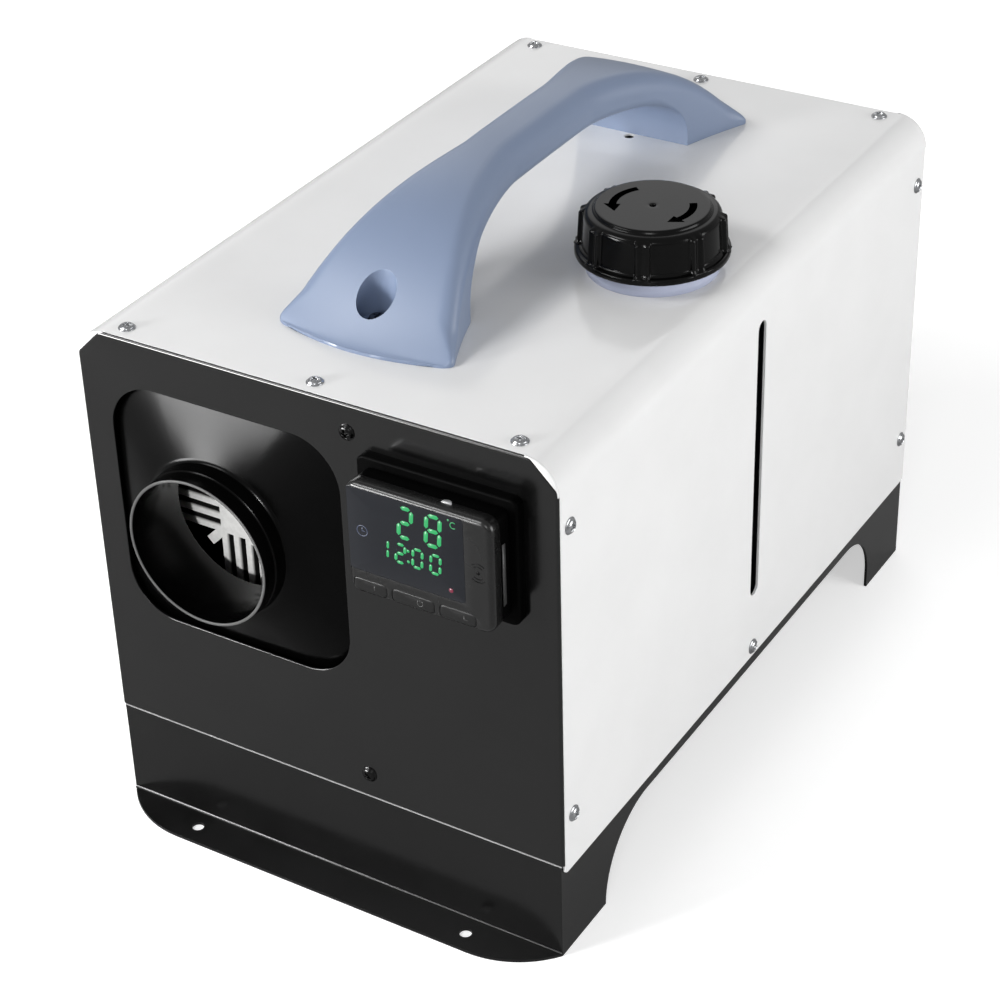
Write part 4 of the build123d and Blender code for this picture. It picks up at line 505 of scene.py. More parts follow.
def panel_outline(inset):
    """The end panel's edge moved in by inset: 124.9 mm half, 265.9 high, corners cut 13 mm."""
    half, high = 124.9 - inset, 265.9 - inset
    low = 53.6 + 0.2 * min(inset, 1.4) + max(inset - 1.4, 0)
    cut = 13 - 0.586 * inset
    corners = [(half, low), (half, high - cut), (half - cut, high), (cut - half, high),
               (-half, high - cut), (-half, low)]
    return filleted(corners, [0.3] + [max(3.5 - inset, 0.8)] * 4 + [0.3],
                    [80, 6, 90, 6, 80, 100])


print("panel outline of", len(panel_outline(0)), "points")


# %% Panels
PANEL_FACE = 190.1
OUTLET_X, OUTLET_Z = -50, 179


def folded_panel(node, side, centre, opening):
    """Rows of (outline or opening, amount, depth behind the face); opening gives its radius for
    an array of directions, and amount moves the outline in or widens the opening."""
    roll = [(0, 1.4 * (1 - math.cos(t)), 1.4 * (1 - math.sin(t)))
            for t in np.radians(np.linspace(0, 90, 9))]
    rows = [(0, 1.35, 18), (0, 1.35, 2.2), (0, 0.3, 1.5), *roll[1:], (0, 1.6, 0), (1, 0.5, 0),
            (1, 0.3, 0), (1, 0.1, 0.1), (1, 0, 0.3), (1, 0, 1.3), (1, 0.2, 1.5), (0, 2.8, 1.5),
            (0, 2.8, 18)]
    rim = panel_outline(1.6) - centre
    angle = np.arctan2(rim[:, 1], rim[:, 0])
    ray, edge = np.stack([np.cos(angle), np.sin(angle)], -1), opening(angle)
    points = []
    for around_opening, amount, depth in rows:
        outline = panel_outline(amount)
        if around_opening:
            outline = centre + (edge + amount)[:, None] * ray
        y = np.full(len(outline), side * (PANEL_FACE - depth))
        points.append(np.stack([outline[:, 0], y, outline[:, 1]], -1))
    points = np.array(points)
    make_piece(node + "_folded", points, ring_faces(points, wrap_rows=True),
               "black_powder_coat", stands_for=[node])


folded_panel("front_panel", -1, np.array([-46.75, 179.75]),
             lambda angle: square_radius(angle, 62.25, 62.75, 25))
folded_panel("rear_panel", 1, np.array([OUTLET_X, OUTLET_Z]), lambda angle: 57.3 + 0 * angle)

# %% [markdown]
# ## Corner webs
#
# The white cover turns its long top edges through a round bend, while the black panels cut that
# corner straight. A small white web closes the sliver between the two at each end: the piece of
# a disc between its arc and its chord, given a millimetre of thickness.


# %% Corner webs
turn = np.linspace(0, np.pi / 2, 25)
sliver = np.concatenate([np.stack([109 + 15.95 * np.cos(turn), 250 + 15.95 * np.sin(turn)], -1),
                         [(110.5, 263.6), (122.6, 251.5)]])
webs = []
for side in (-1, 1):
    for end in (-1, 1):
        ring = sliver * (side, 1)
        for y in (188.7, 189.75):
            webs.append(np.stack([ring[:, 0], np.full(len(ring), end * y), ring[:, 1]], -1))
count = len(sliver)
faces = []
for start in range(0, len(webs) * count, 2 * count):
    near = np.arange(count) + start
    band = np.stack([near, np.roll(near, -1), np.roll(near, -1) + count, near + count], -1)
    faces += band.tolist() + [near[::-1].tolist(), (near + count).tolist()]
make_piece("cover_corner_webs", np.concatenate(webs), faces, "white_powder_coat")

# %% [markdown]
# ## Handle
#
# The handle is one moulded arch. Seen from above it is narrow at the grip and flares into two
# wide feet, seen from the side it drops in one easy curve, and the hole under it is close to
# half an ellipse. Carving that from a block would be hard, but it is simple as a section carried
# along the length: at each station a rounded rectangle with a slightly crowned top, whose width,
# height and lower edge are smooth functions of the distance from the middle. Each end is closed
# by a strip of quads between the top and the underside, and a polygon at each side.

# %% Handle's outline
HANDLE_END, HANDLE_INNER, BOW = 152.3, 104.6, 6.3
COVER_TOP = 266.0
ACROSS = 30


def ease(t):
    """0 to 1 with level ends: 3t squared less 2t cubed."""
    t = np.clip(t, 0, 1)
    return t * t * (3 - 2 * t)


def handle_half_width(d):
    """15.2 at the grip, flaring by a power of 1.35 to 42.6 at 137 mm, with round corners of 8.7
    mm in plan at the foot's end."""
    flare = 15.2 + 27.4 * np.clip((d - 34.7) / 102.3, 0, 1.1) ** 1.35
    into_corner = np.clip(d - (HANDLE_END - 8.7), 0, 8.7)
    return flare - 8.7 + np.sqrt(8.7 ** 2 - into_corner ** 2)


def handle_crown(d):
    """320 over the grip, then down like the quarter of a squared-off ellipse to 267.5."""
    return 267.5 + 52.5 * (1 - (d / (HANDLE_END + 0.3)) ** 3.72) ** 1.29


def handle_gap(d):
    """Height of the underside: half an ellipse, 34 high and 104.6 out, well squared off."""
    return COVER_TOP + 33.9 * (1 - np.clip(d / HANDLE_INNER, 0, 1) ** 3.26) ** (1 / 3.26)


reach = np.concatenate([HANDLE_INNER * np.sin(np.linspace(0, 90, 60) * np.pi / 180),
                        HANDLE_INNER + (HANDLE_END - HANDLE_INNER)
                        * np.sin(np.linspace(0, 90, 37)[1:] * np.pi / 180)])
station = np.concatenate([-reach[:0:-1], reach])
print(len(station), "stations, foot", handle_half_width(np.array([134.0])), "mm half")


# %% Handle's surface
def handle_points():
    """A rounded rectangle at each station: top corners of up to 9 mm, lower ones of up to 5 mm
    in the grip, the top raised by a parabola, and the foot's end bowed by a parabola in plan."""
    d = np.abs(station)[:, None]
    half = handle_half_width(d)
    crown = handle_crown(d)
    shoulder = np.maximum(crown - 1.8, COVER_TOP + 1.2)
    low = handle_gap(d)
    height = shoulder - low
    top_radius = np.minimum(9.0, 0.62 * height)
    foot = ease((d - 80) / 24)
    low_radius = np.minimum(5.0 * (1 - foot) + 0.3 * foot, 0.3 * height)
    turn = np.linspace(0, np.pi / 2, 9)[None, :]
    across = np.linspace(-1, 1, ACROSS + 1)[None, :]
    rise = np.linspace(0, 1, 9)[None, 1:-1]
    x_top, z_top = across * (half - top_radius), shoulder + 0 * across
    x_cr = half - top_radius + top_radius * np.sin(turn)
    z_cr = shoulder - top_radius + top_radius * np.cos(turn)
    side = (shoulder - top_radius) * (1 - rise) + (low + low_radius) * rise
    x_lr = half - low_radius + low_radius * np.cos(turn)
    z_lr = low + low_radius - low_radius * np.sin(turn)
    x_low, z_low = -across * (half - low_radius), low + 0 * across
    x = np.concatenate([x_top, x_cr[:, 1:], half + 0 * side, x_lr, x_low[:, 1:-1],
                        -x_lr[:, ::-1], -half + 0 * side, -x_cr[:, :0:-1]], 1)
    z = np.concatenate([z_top, z_cr[:, 1:], side, z_lr, z_low[:, 1:-1],
                        z_lr[:, ::-1], side[:, ::-1], z_cr[:, :0:-1]], 1)
    z = z + (crown - shoulder) * (1 - (x / half) ** 2) * (z - low) / height
    bowed = BOW * (x / half) ** 2 * np.clip((d - HANDLE_INNER) / (HANDLE_END - HANDLE_INNER),
                                            0, 1) ** 2
    y = np.sign(station)[:, None] * (d - bowed)
    return np.stack([x, y, z], -1)


points = handle_points()
rows, columns = points.shape[:2]
top = np.arange(ACROSS)
below = columns // 2 + ACROSS - top
lid = np.stack([top, top + 1, below - 1, below], -1).tolist()
lid += [list(range(ACROSS, columns // 2 + 1)), [*range(columns // 2 + ACROSS, columns), 0]]
faces = ring_faces(points) + lid
faces += [[(rows - 1) * columns + corner for corner in face] for face in lid]
handle = make_piece("handle_arch", points, faces, "blue_plastic", stands_for=["handle"])

# %% [markdown]
# ## The handle's two deep screw holes
#
# Each foot has a hole, 18.6 mm wide, at whose bottom a screw holds the handle down. A Boolean
# modifier cuts them, because a round wall through a sloping crowned face is just what it is good
# at. Its result is written into the mesh, so that a Bevel can then soften the rim.


# %% Handle's holes
HOLE_RADIUS, HOLE_OUT, HOLE_BOTTOM = 9.3, 131, 271


def full_turn(steps):
    """That many directions, evenly round a circle, as one row."""
    return np.linspace(0, 2 * np.pi, steps, endpoint=False)[None, :]


def upright(x, y, radius, angle, height):
    """Points round an upright axis through (x, y)."""
    return np.stack([x + radius * np.cos(angle), y + radius * np.sin(angle),
                     height + 0 * angle], -1)


def round_bar(profile, x, y, steps=96):
    """Profile of (radius, height) pairs turned about an upright axis through (x, y)."""
    radius, height = np.asarray(profile, float).T[:, :, None]
    return upright(x, y, radius, full_turn(steps), height)


def cut(piece, points, slot):
    """Subtracts a closed block of rings from a piece and writes the result into its mesh."""
    cutter = make_piece("cutter", points, ring_faces(points), slot)
    hole = piece.modifiers.new("hole", "BOOLEAN")
    hole.operation, hole.solver, hole.object = "DIFFERENCE", "EXACT", cutter
    result = bpy.data.meshes.new_from_object(
        piece.evaluated_get(bpy.context.evaluated_depsgraph_get()))
    piece.modifiers.clear()
    piece.data = result
    bpy.data.objects.remove(cutter)


for y in (-HOLE_OUT, HOLE_OUT):
    cutter_profile = [(0, HOLE_BOTTOM), (HOLE_RADIUS, HOLE_BOTTOM), (HOLE_RADIUS, 330), (0, 330)]
    cut(handle, round_bar(cutter_profile, 0, y), "blue_plastic")
ends = np.zeros(len(handle.data.edges) * 2, np.int32)
handle.data.edges.foreach_get("vertices", ends)
co = np.zeros(len(handle.data.vertices) * 3)
handle.data.vertices.foreach_get("co", co)
co = co.reshape(-1, 3) / MM
from_axis = np.hypot(co[:, 0], np.abs(co[:, 1]) - HOLE_OUT)
on_rim = (np.abs(from_axis - HOLE_RADIUS) < 0.02) & (co[:, 2] > HOLE_BOTTOM + 1)
both_on = on_rim[ends.reshape(-1, 2)].all(1)
weight = handle.data.attributes.new("bevel_weight_edge", "FLOAT", "EDGE")
weight.data.foreach_set("value", both_on.astype(np.float32))
handle.data.set_sharp_from_angle(angle=math.radians(50))
rounded(handle, 1.0, 4, limit_method="WEIGHT")
print("handle after its holes:", len(handle.data.polygons), "faces")

# %% [markdown]
# ## Filler cap
#
# The cap is turned about its axis except for eight grip ribs. So its surface is a polar grid: a
# profile from the small pit in its middle out over the disc, down the skirt, round the lip and up
# inside, with the radius pushed out where a rib stands. Each rib is 7.6 mm wide at its root and
# has a shallow hollow down its middle, so it reads as two bright lines.


# %% Cap
CAP_X, CAP_Y, CAP_TOP = 77, -18.5, 297


def cap_points():
    """Profile radius plus, on the skirt, 2.2 mm at each rib less a 1 mm bell down its middle."""
    profile = np.array([
        (0, 292), (1.2, 292), (1.2, 296.2), (1.3, 296.6), (1.6, 296.85), (2, 296.95),
        (2.6, CAP_TOP), (4, CAP_TOP), (25.2, CAP_TOP), (25.8, CAP_TOP), (26.4, 296.9),
        (26.8, 296.5), (27.0, 295.9), (27.3, 295.4), (27.8, 295.2), (28.6, 295.2), (29.6, 295.0),
        (30.4, 294.6), (31.1, 294.0), (31.5, 293.3), (31.7, 292.6),
        *[(31.75 + (292 - z) * 0.06, z) for z in np.linspace(292, 278.2, 24)],
        (33.0, 277.6), (33.5, 277.2), (34.2, 277), (35.2, 277), (35.8, 276.7), (36, 276.2),
        (36, 274.7), (35.8, 274.2), (35.4, 274), (28.8, 274), (28.6, 274.3), (28.6, 291),
        (0, 291)])
    angle = full_turn(560)
    radius, height = profile.T[:, :, None]
    spacing = np.pi / 4
    along = ((angle - math.radians(20) + spacing / 2) % spacing - spacing / 2) * 32.5
    rib = 2.2 * (1 - ease((np.abs(along) - 2.8) / 1.0)) - 1.0 * np.exp(-(along / 1.4) ** 2)
    window = ease((294.3 - height) / 1.3) * ease((height - 276.6) / 0.8) * (radius > 30.9)
    return upright(CAP_X, CAP_Y, radius + np.maximum(rib, 0) * window, angle, height)


points = cap_points()
make_piece("cap_ribbed", points, ring_faces(points), "gloss_black", body=body_of["cap"],
           stands_for=["cap"])

# %% [markdown]
# ## Outlet hood
#
# The hood starts as the heater case's rounded square and ends as a round collar for the air
# hose. Every ring between the two is a mix of their radii in each direction, and the mix grows
# evenly with the distance, so the top of the hood is one plain slope that mirrors a single lamp.
# One closed profile goes round the whole wall, over the outside, round the collar's rim and back
# down the inside.


# %% Hood
def facing(x, z, radius, angle, y):
    """Points round an axis along Y through (x, z)."""
    return np.stack([x + radius * np.cos(angle), y + 0 * angle, z + radius * np.sin(angle)], -1)


def hood_rows():
    """Rows of (share of circle, square's inset, circle's radius, y), once round the wall."""
    rise = np.linspace(0, 1, 18)
    outer = np.stack([rise, 0 * rise, 38.2 + 0 * rise, -184 - 12.4 * rise], -1)
    inner_y = np.minimum(outer[::-1, 3] + 2.4, -181)
    inner = np.stack([rise[::-1], 2.5 + 0 * rise, 36.9 + 0 * rise, inner_y], -1)
    collar = [(38.1, -196.9), (38.1, -197.8), (38.1, -203.4), (38.05, -203.6), (37.55, -203.75),
              (37.5, -204.4), (37.5, -211.3), (37.4, -211.75), (37.1, -211.95), (36.8, -212),
              (36.4, -211.95), (36.1, -211.75), (36, -211.3), (36, -195), (36, -177.3),
              (36.2, -177), (36.6, -177), (36.9, -177.3), (36.9, -185)]
    return np.array([(0, 0.3, 38.2, -166.2), (0, 0, 38.2, -166.8), (0, 0, 38.2, -175),
                     (0, 0, 38.2, -183), (0, 0.1, 38.2, -183.8), *outer[1:],
                     *[(1, 0, radius, y) for radius, y in collar], *inner,
                     (0, 2.5, 36.9, -175), (0, 2.5, 36.9, -166.8), (0, 2.2, 36.9, -166.2)])


share, inset, circle, depth = hood_rows().T[:, :, None]
angle = full_turn(320)
square = square_radius(angle, 67, 70, 30) - inset
points = facing(OUTLET_X, OUTLET_Z, (1 - share) * square + share * circle, angle, depth)
make_piece("outlet_hood_moulded", points, ring_faces(points, wrap_rows=True), "hood_black",
           stands_for=["outlet_hood"])

# %% [markdown]
# ## Filler collar
#
# A lilac-blue ring seals the opening in the cover round the tank's neck. It is purely round, so a
# profile turned about the neck's axis gives all of it.

# %% Filler collar
top_round = [(29.4 + 1.6 * np.cos(t), 271.4 + 1.6 * np.sin(t))
             for t in np.radians(np.linspace(0, 90, 7))]
points = round_bar([(26.5, 248.4), (28.7, 248.2), (29, 248.5), (29, 265.9), (30.8, 265.9),
                    (31, 266.1), (31, 269), *top_round, (27.0, 273), (26.5, 272.6)],
                   CAP_X, CAP_Y, 144)
make_piece("filler_collar_turned", points, ring_faces(points, wrap_rows=True), "blue_plastic",
           collar_plastic, stands_for=["filler_collar"])

# %% [markdown]
# ## Screws
#
# The cover is held by sixteen zinc-plated pan heads with a thin flange and a cross recess. One
# screw is worked out as a polar height field, the dome less a cross-shaped pit, on top of a
# threaded shank. It is then turned and moved to each place at once, with one rotation matrix per
# place.


# %% One screw
def screw_points(head, height, shank, length, steps=72):
    """Head: flange, then a quarter-ellipse dome less a cross pit with sloping walls. Shank: a
    radius that swings with a 0.7 mm thread."""
    angle = full_turn(steps)
    r = np.concatenate([np.linspace(0, 0.62, 16), np.linspace(0.66, 0.84, 6)])[:, None] * head
    dome = 0.3 * height + 0.7 * height * np.sqrt(np.maximum(1 - (r / (0.86 * head)) ** 2, 0))
    x, y = np.abs(r * np.cos(angle)), np.abs(r * np.sin(angle))
    past_arm = np.maximum(np.minimum(x, y) - 0.13 * head, np.maximum(x, y) - 0.5 * head)
    pit = ease(-past_arm / (0.07 * head) + 0.5) * 0.6 * height
    flange = np.array([(0.88, 0.27), (0.96, 0.24), (1.0, 0.17), (1.0, 0.03), (0.97, 0)])
    rows = [(f * head, h * height) for f, h in flange] + [(shank, 0)]
    z = np.arange(-0.2, -length, -0.175)
    rows += list(zip(shank - 0.22 + 0.22 * np.cos(z * 2 * np.pi / 0.7), z))
    rows += [(shank * 0.7, -length), (0, -length)]
    ring, level = np.array(rows).T[:, :, None]
    points = np.concatenate([upright(0, 0, r, angle, dome - pit),
                             upright(0, 0, ring, angle, level)])
    return points.reshape(-1, 3), ring_faces(points)


def stamped(points, faces, places):
    """Copies of one shape: points turned so that +Z meets each place's normal, then moved."""
    all_points, all_faces = [], []
    for index, (where, normal, spin) in enumerate(places):
        turn = Vector(normal).to_track_quat("Z", "Y").to_matrix() @ Matrix.Rotation(spin, 3, "Z")
        all_points.append(points @ np.array(turn).T + np.array(where))
        all_faces += [[v + index * len(points) for v in face] for face in faces]
    return np.concatenate(all_points), all_faces


SIDE_X, SCREW_X, SCREW_Y = 125, 102, 181
top = [((x, y, COVER_TOP), (0, 0, 1)) for x in (-SCREW_X, 0, SCREW_X)
       for y in (-SCREW_Y, SCREW_Y)]
sides = [((s * SIDE_X, y, z), (s, 0, 0)) for s in (-1, 1)
         for y, z in ((-SCREW_Y, 79), (-SCREW_Y, 232), (SCREW_Y, 79), (SCREW_Y, 232), (0, 55))]
spins = np.random.default_rng(7).uniform(0, np.pi / 2, len(top + sides))
points, faces = screw_points(4.0, 2.2, 1.95, 6.0)
make_piece("cover_screw_heads", *stamped(points, faces, [
    (*place, spin) for place, spin in zip(top + sides, spins)]), "zinc_steel",
    stands_for=["cover_screws"])
panel = [((21.5, s * END_WALL, z), (0, s, 0), spin) for s in (-1, 1)
         for z, spin in ((252, 0.3), (66.5, 0.9))]
make_piece("panel_screw_heads", *stamped(points, faces, panel), "black_screw",
           stands_for=["panel_screws"])

# %% [markdown]
# ## Plates cut from an outline
#
# The lit figures, the icons and the marks on the keys are flat shapes, mostly a few hundredths of
# a millimetre proud of what carries them. Each is an outline given thickness: the outline at two
# depths, a band of quads round it, and a polygon at each end.


# %% Plates
FACE = -210


def plates(name, outlines, place, low, high, material, slot, body="heater"):
    """A piece of closed prisms, one for each outline, between two depths; place turns
    (u, v, depth) to x, y, z."""
    points, faces, start = [], [], 0
    for outline in outlines:
        u, v = np.asarray(outline, float).T
        n = len(u)
        points += [place(u, v, np.full(n, depth)) for depth in (low, high)]
        ring = np.arange(n)
        side = np.stack([ring, (ring + 1) % n, (ring + 1) % n + n, ring + n], -1) + start
        faces += side.tolist() + [(ring[::-1] + start).tolist(), (ring + n + start).tolist()]
        start += 2 * n
    make_piece(name, np.concatenate(points), faces, slot, material, body)


def on_front(u, v, depth):
    """Faces the front: u is x, v is z, and depth is how far out of the controller's face."""
    return np.stack([u, FACE - depth, v], -1)


def bent_bar(centre, inner, outer, start, end, steps=24):
    """Out along one arc and back along a smaller one, angles in degrees."""
    there = np.radians(np.linspace(start, end, steps))
    back = there[::-1]
    u = np.concatenate([outer * np.cos(there), inner * np.cos(back)]) + centre[0]
    v = np.concatenate([outer * np.sin(there), inner * np.sin(back)]) + centre[1]
    return np.stack([u, v], -1)


def disc(u, v, radius, end=360):
    """A round plate, or the part of it up to an angle in degrees."""
    return bent_bar((u, v), 0.001, radius, 0, end)


def bar(left, low, right, high):
    """A rectangle's four corners."""
    return [(left, low), (right, low), (right, high), (left, high)]


SEGMENTS = {"0": "abcdef", "1": "bc", "2": "abged", "8": "abcdefg"}
ENDS = {"a": ((0, 1), (1, 1)), "b": ((1, 1), (1, 0.5)), "c": ((1, 0.5), (1, 0)),
        "d": ((0, 0), (1, 0)), "e": ((0, 0.5), (0, 0)), "f": ((0, 1), (0, 0.5)),
        "g": ((0, 0.5), (1, 0.5))}


def figure(char, left, low, width, height, thick, slant=0.07):
    """Seven-segment figure: each lit bar is a long hexagon, all leaning by slant."""
    outlines = []
    for key in SEGMENTS[char]:
        a, b = (np.array(e) * (width, height) for e in ENDS[key])
        along = (b - a) / np.linalg.norm(b - a)
        side = np.array([-along[1], along[0]]) * thick / 2
        a, b = a + along * thick * 0.3, b - along * thick * 0.3
        step = along * thick * 0.5
        hexagon = np.array([a, a + step + side, b - step + side, b, b - step - side,
                            a + step - side])
        hexagon[:, 0] += hexagon[:, 1] * slant
        outlines.append(hexagon + (left, low))
    return outlines


print("a figure 8 has", len(figure("8", 0, 0, 6, 15, 1.6)), "bars")

# %% [markdown]
# ## Arrows on the cap
#
# Two matt arrows, let in flush with the disc, show which way to turn it. Each is a bent bar with
# a triangular head.


# %% Cap's arrows
def arrow(start, end, head):
    """A bar bent from one angle to another at 16.6 to 20.2 mm, ending in a head out to head."""
    bent = bent_bar((0, 0), 16.6, 20.2, start, end)
    half = len(bent) // 2
    turn, tip = math.radians(end), math.radians(head)
    point = np.array([(r * math.cos(a), r * math.sin(a))
                      for r, a in ((22.6, turn), (18.4, tip), (14.6, turn))])
    return np.concatenate([bent[:half], point, bent[half:]])


def on_cap(u, v, height):
    """Lies on the cap's disc: u and v from the cap's axis, height above the disc."""
    return np.stack([CAP_X + u, CAP_Y + v, CAP_TOP + height], -1)


plates("cap_arrows", [arrow(140, 203, 227), arrow(34, -22, -42)], on_cap, -0.15, 0.0,
       arrow_black, "gloss_black", body_of["cap"])

# %% [markdown]
# ## Controller's face
#
# The front half of the controller is a thin moulded shell with a generous round edge, a seat for
# the window and three openings for keys. The shell is rings of one rounded rectangle, from the
# back edge round to the middle of the face and back on the inside. Boolean cutters with rounded
# corners of their own then make the seat and the openings, a gap wider than the pane and the keys.


# %% Shell of the controller
BACK, INSIDE, SEAT, ROLL = -203, -207.4, -209, 2.6
WINDOW_X, WINDOW_Z, WINDOW_WIDE, WINDOW_HIGH = 62.25, 219.6, 28.95, 21.0
KEY_Z, KEY_HIGH, KEY_CORNER = 191.15, 3.15, 2.06
GAP, PANE_GAP = 0.14, 0.08
KEYS = {"button_left": (42.95, 8.45), "button_power": (64.7, 10.7), "button_right": (87.0, 9.0)}


def block(x, z, half_x, half_z, corner, rows, columns=160):
    """Rings of a rounded rectangle about (x, z): each row is the share of the radius kept, how
    far the outline is moved in, and y."""
    angle = full_turn(columns)
    share, inset, y = np.array(rows, float).T[:, :, None]
    radius = share * square_radius(angle, half_x - inset, half_z - inset,
                                   np.maximum(corner - inset, 0.3))
    return facing(x, z, radius, angle, y)


def through(deep):
    """Rows of a plain block from y deep to 2 mm in front of the face."""
    return [(0, 0, deep), (1, 0, deep), (1, 0, FACE - 2), (0, 0, FACE - 2)]


roll = [(1, ROLL * (1 - math.sin(t)), FACE + ROLL * (1 - math.cos(t)))
        for t in np.radians(np.linspace(90, 0, 10))]
front = [(share, ROLL + 0.1, FACE) for share in (1, 0.8, 0.5, 0)]
behind = [(0, 2, INSIDE), (0.9, 2, INSIDE), (1, 2.6, INSIDE), (1, 2, INSIDE + 0.6), (1, 2, BACK)]
points = block(68.5, 214.4, 36.2, 28, 5.5, [(1, 0, BACK), *roll, *front, *behind], 400)
shell = make_piece("controller_shell", points, ring_faces(points, wrap_rows=True),
                   "controller_black", stands_for=["controller_front"])
cut(shell, block(WINDOW_X, WINDOW_Z, WINDOW_WIDE, WINDOW_HIGH, 1.6, through(SEAT)),
    "controller_black")
for x, half in KEYS.values():
    cut(shell, block(x, KEY_Z, half + GAP, KEY_HIGH + GAP, 2.2, through(BACK + 0.5)),
        "controller_black")
rounded(shell, 0.12, 2, limit_method="ANGLE", angle_limit=math.radians(60))
points = block(WINDOW_X, WINDOW_Z, WINDOW_WIDE - PANE_GAP, WINDOW_HIGH - PANE_GAP, 1.52, [
    (0, 0, SEAT), (1, 0, SEAT), (1, 0, FACE + 0.12), (1, 0.04, FACE + 0.03), (1, 0.12, FACE),
    (0.5, 0, FACE), (0, 0, FACE)], 240)
make_piece("window_pane", points, ring_faces(points), "smoked_glass",
           stands_for=["display_glass"])

# %% [markdown]
# ## Keys and small marks on the controller
#
# Each key is a rounded rectangle whose face is very slightly domed and whose edge is rolled, made
# of the same rings, set in step by step. It stands a tenth of a millimetre out of the face.

# %% Keys
KEY_FACE = FACE - 0.1
key_rows = [(0, 0, KEY_FACE), (0.5, 0, -210.09), (1, 1.5, -210.07), (1, 0.8, -210.04),
            (1, 0.35, -209.98), (1, 0.1, -209.86), (1, 0, -209.6), (1, 0, -205.6), (0, 0, -205.6)]
for key, (x, half) in KEYS.items():
    points = block(x, KEY_Z, half, KEY_HIGH, KEY_CORNER, key_rows)
    make_piece(key + "_key", points, ring_faces(points), "controller_black", key_black,
               body_of[key], [key])


# %% Marks on the keys and the bezel
def on_key(u, v, depth):
    """Faces the front on a key."""
    return np.stack([u, KEY_FACE - depth, v], -1)


key_marks = {
    "power": [bent_bar((68.2, 191.2), 1.25, 1.6, 125, 415), bar(68.05, 191.4, 68.35, 193.1)],
    "left": [bar(44.9, 190.1, 45.2, 192.3)],
    "right": [[(89.8, 190.3), (92.0, 190.3), (92.0, 190.65), (90.2, 190.65), (90.2, 192.2),
               (89.8, 192.2)]]}
for which, outlines in key_marks.items():
    plates("mark_" + which, outlines, on_key, -0.12, 0.02, mark_grey, "controller_black",
           body_of["button_" + which])
waves = [bent_bar((97.7, 216.5), r, r + 0.62, middle - 42, middle + 42)
         for r in (2.7, 4.2) for middle in (90, 270)]
plates("mark_waves", [disc(97.7, 216.5, 0.95), *waves], on_front, -0.02, 0.015, mark_black,
       "controller_black")


def on_side(u, v, depth):
    """Faces right on the controller's side: u is y, v is z."""
    return np.stack([104.7 + depth, u, v], -1)


def on_top(u, v, depth):
    """Faces up on the controller's top: u is x, v is y."""
    return np.stack([u, v, 242.4 + depth], -1)


plates("side_latch", [[(-201.9, 197), (-199.6, 197.4), (-199.6, 227.6), (-201.9, 228)]],
       on_side, -0.1, 0.25, mark_grey, "controller_black")
plates("light_sensor", [disc(80.2, -204.9, 2.4, 180)], on_top, -0.1, 0.5, sensor_clear,
       "filter_clear")

# %% [markdown]
# ## Lit display
#
# Light-emitting bars shine through the dark window. They show as even, saturated colour with
# hardly any shading, so their material gives light, which drifts slightly from bar to bar. The
# bars lie on the pane, a few hundredths of a millimetre thick, where they show at full strength.


# %% Lit colours
def lit(name, colour, second, strength):
    """Diffused light-emitting bar: emission drifting between two tones over 3 mm."""
    material = finish(name, "#101010", "#121212", 3, 0.35, 0.4, 0.5, 0.002)
    tree = material.node_tree
    drift = tree.nodes["Map Range"].outputs["Result"]
    wire(tree, tree.nodes["Principled BSDF"], {
        "Emission Color": mix(tree, drift, linear(colour), linear(second)),
        "Emission Strength": strength})
    return material


green_light = lit("led_green_diffused", "#32BE70", "#2AAE63", 1.0)
blue_light = lit("led_blue_grey_dim", "#4A5470", "#434D68", 0.9)
red_light = lit("led_red_dim", "#8A2440", "#78203A", 1.0)
figures = [("2", 59.0, 222.6, 6.0, 14.8, 2.0), ("8", 72.4, 222.9, 6.6, 14.8, 2.0),
           ("1", 48.4, 209.5, 4.4, 9.2, 1.2), ("2", 56.9, 209.3, 4.4, 9.2, 1.5),
           ("0", 65.3, 209.3, 4.6, 9.2, 1.4), ("0", 74.2, 209.3, 4.6, 9.2, 1.4)]
green = [outline for row in figures for outline in figure(*row)]
green += [disc(63.4, 216.4, 0.7), disc(63.3, 211.0, 0.7),
          bent_bar((84.0, 238.5), 0.2, 0.45, 0, 359), bent_bar((86.4, 236.4), 1.3, 1.65, 50, 310)]
clock = [bent_bar((40.5, 219.4), 2.4, 2.8, 0, 359.9), bar(40.3, 219.2, 40.7, 221.2),
         bar(40.5, 219.2, 41.9, 219.6)]
for name, outlines, material in (("display_figures", green, green_light),
                                 ("display_clock", clock, blue_light),
                                 ("display_indicator", [disc(84.1, 203.3, 1.1)], red_light)):
    plates(name, outlines, on_front, 0.005, 0.03, material, "smoked_glass")

# %% [markdown]
# ## Lamps
#
# The picture is a product shot on white. A large softbox stands behind and above on the left, one
# on the right, and two small ones in front above. A strip at the front left draws the streaks in
# the handle's and the hood's plastic. Beside it a reflector card lights no matt surface: it only
# shows mirrored, in the slope of the hood. A snoot, a lamp with a very narrow beam, reaches
# through the outlet and lights the front of the casting.


# %% Lamps
def hang(lamp, where, target):
    """Puts a lamp somewhere, its beam towards target, and says how far away it is."""
    away = Vector(where) - Vector(target)
    lamp.matrix_world = Matrix.Translation(Vector(where)) @ away.to_track_quat(
        "Z", "Y").to_matrix().to_4x4()
    bpy.context.scene.collection.objects.link(lamp)
    print(f"{lamp.name}: {lamp.data.energy:.0f} W at {away.length:.2f} m")


def softbox(name, where, target, width, height, watts):
    """A rectangular area lamp; level 1 on a face needs about pi squared times distance squared
    watts."""
    lamp = bpy.data.objects.new(name, bpy.data.lights.new(name, "AREA"))
    lamp.data.shape = "RECTANGLE"
    lamp.data.size, lamp.data.size_y, lamp.data.energy = width, height, watts
    hang(lamp, where, target)
    return lamp


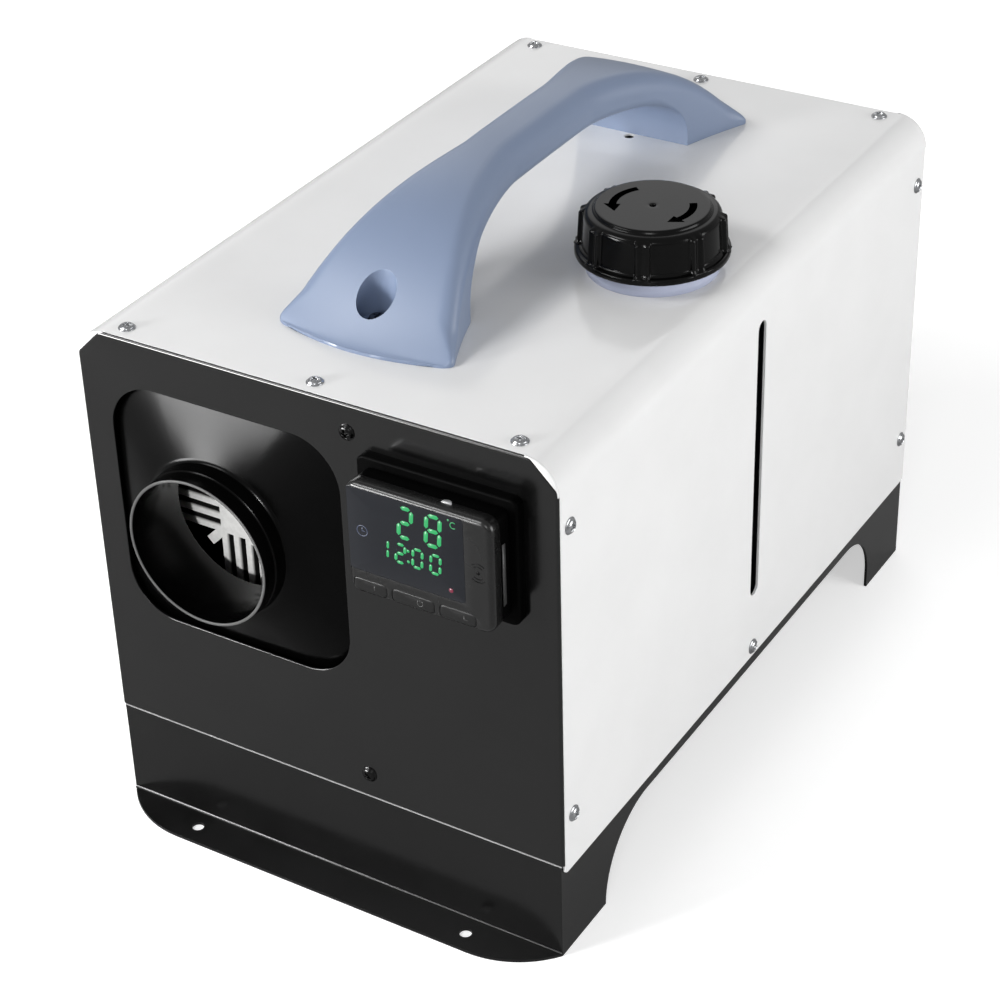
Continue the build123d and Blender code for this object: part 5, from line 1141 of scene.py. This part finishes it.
softbox("rear_left_softbox", (-1.34, 2.14, 1.85), (0.03, 0, 0.26), 2.3, 2.0, 13)
softbox("right_softbox", (1.9, 0.3, 0.6), (0.1, 0, 0.15), 1.2, 1.0, 25)
softbox("front_left_strip", (-1.2, -1.9, 0.47), (-0.05, -0.15, 0.2), 0.5, 0.6, 48)
card = softbox("left_reflector_card", (-1.63, -1.53, 0.47), (-0.05, -0.15, 0.2), 0.66, 0.6, 68)
card.visible_diffuse = False
softbox("front_high_softbox", (-1.04, -1.24, 1.7), (0, -0.1, 0.28), 0.95, 0.36, 21)
softbox("front_right_softbox", (0.85, -1.95, 1.25), (-0.05, -0.19, 0.17), 0.5, 0.5, 9)

snoot = bpy.data.objects.new("outlet_snoot", bpy.data.lights.new("outlet_snoot", "SPOT"))
snoot.data.energy, snoot.data.spot_size, snoot.data.spot_blend = 205, math.radians(2.6), 0.5
snoot.data.shadow_soft_size = 0.03
hang(snoot, (0.9, -1.75, 1.22), (-0.035, -0.2, 0.188))

# %% [markdown]
# ## Room and floor
#
# The camera, and whatever looks through glass, sees the room as plain white. Mirrors see it at
# about half that, as the far walls of a studio are, and matt surfaces get a quarter, so that the
# lamps still cast shadows. The Light Path node tells the three apart. The floor is white paper.
# Its own light lifts it to white for the camera, more so farther out, which leaves no horizon and
# still keeps the shadow near the object. Mirrors see it as greyer paper, with very little glow.

# %% Room and floor
ROOM_MATT, MIRROR_EXTRA = 0.26, 0.26
MIRROR_GLOW, GLOW_NEAR, GLOW_FAR = 0.07, 0.5, 1.0
NEAR, FAR, FLOOR_HALF = 0.7, 2.2, 6
world = bpy.data.worlds.new("white_room")
bpy.context.scene.world = world
world.use_nodes = True
tree = world.node_tree
rays = add(tree, "ShaderNodeLightPath").outputs
seen = sums(tree, "ADD", rays["Is Camera Ray"], rays["Is Transmission Ray"], clamp=True)
unseen = sums(tree, "MULTIPLY_ADD", rays["Is Glossy Ray"], MIRROR_EXTRA, ROOM_MATT)
wire(tree, tree.nodes["Background"], {
    "Strength": ramp(tree, seen, 0, 1, unseen, 1.0), "Color": (1, 1, 1, 1)})

floor_material = bpy.data.materials.new("studio_paper_white")
floor_material.use_nodes = True
tree = floor_material.node_tree
tree.nodes.remove(tree.nodes["Principled BSDF"])
rays = add(tree, "ShaderNodeLightPath").outputs
mirrored = sums(tree, "ADD", rays["Is Glossy Ray"], rays["Is Transmission Ray"], clamp=True)
paper = add(tree, "ShaderNodeBsdfDiffuse", {}, {
    "Color": mix(tree, mirrored, linear("#E4E4E4"), linear("#B5B5B5"))})
place = add(tree, "ShaderNodeTexCoord").outputs["Object"]
away = add(tree, "ShaderNodeVectorMath", {"operation": "LENGTH"}, {0: place}).outputs["Value"]
direct = sums(tree, "MULTIPLY", rays["Is Camera Ray"],
              ramp(tree, away, NEAR, FAR, GLOW_NEAR, GLOW_FAR))
shine = add(tree, "ShaderNodeEmission", {}, {
    "Color": (1, 1, 1, 1), "Strength": sums(tree, "MULTIPLY_ADD", mirrored, MIRROR_GLOW, direct)})
both = add(tree, "ShaderNodeAddShader", {}, {0: paper.outputs[0], 1: shine.outputs[0]})
wire(tree, tree.nodes["Material Output"], {"Surface": both.outputs[0]})
mesh = bpy.data.meshes.new("floor")
mesh.from_pydata([(x * FLOOR_HALF, y * FLOOR_HALF, 0) for x, y in bar(-1, -1, 1, 1)], [],
                 [(0, 1, 2, 3)])
mesh.materials.append(floor_material)
floor = bpy.data.objects.new("floor", mesh)
bpy.context.scene.collection.objects.link(floor)
print("floor and room are white")
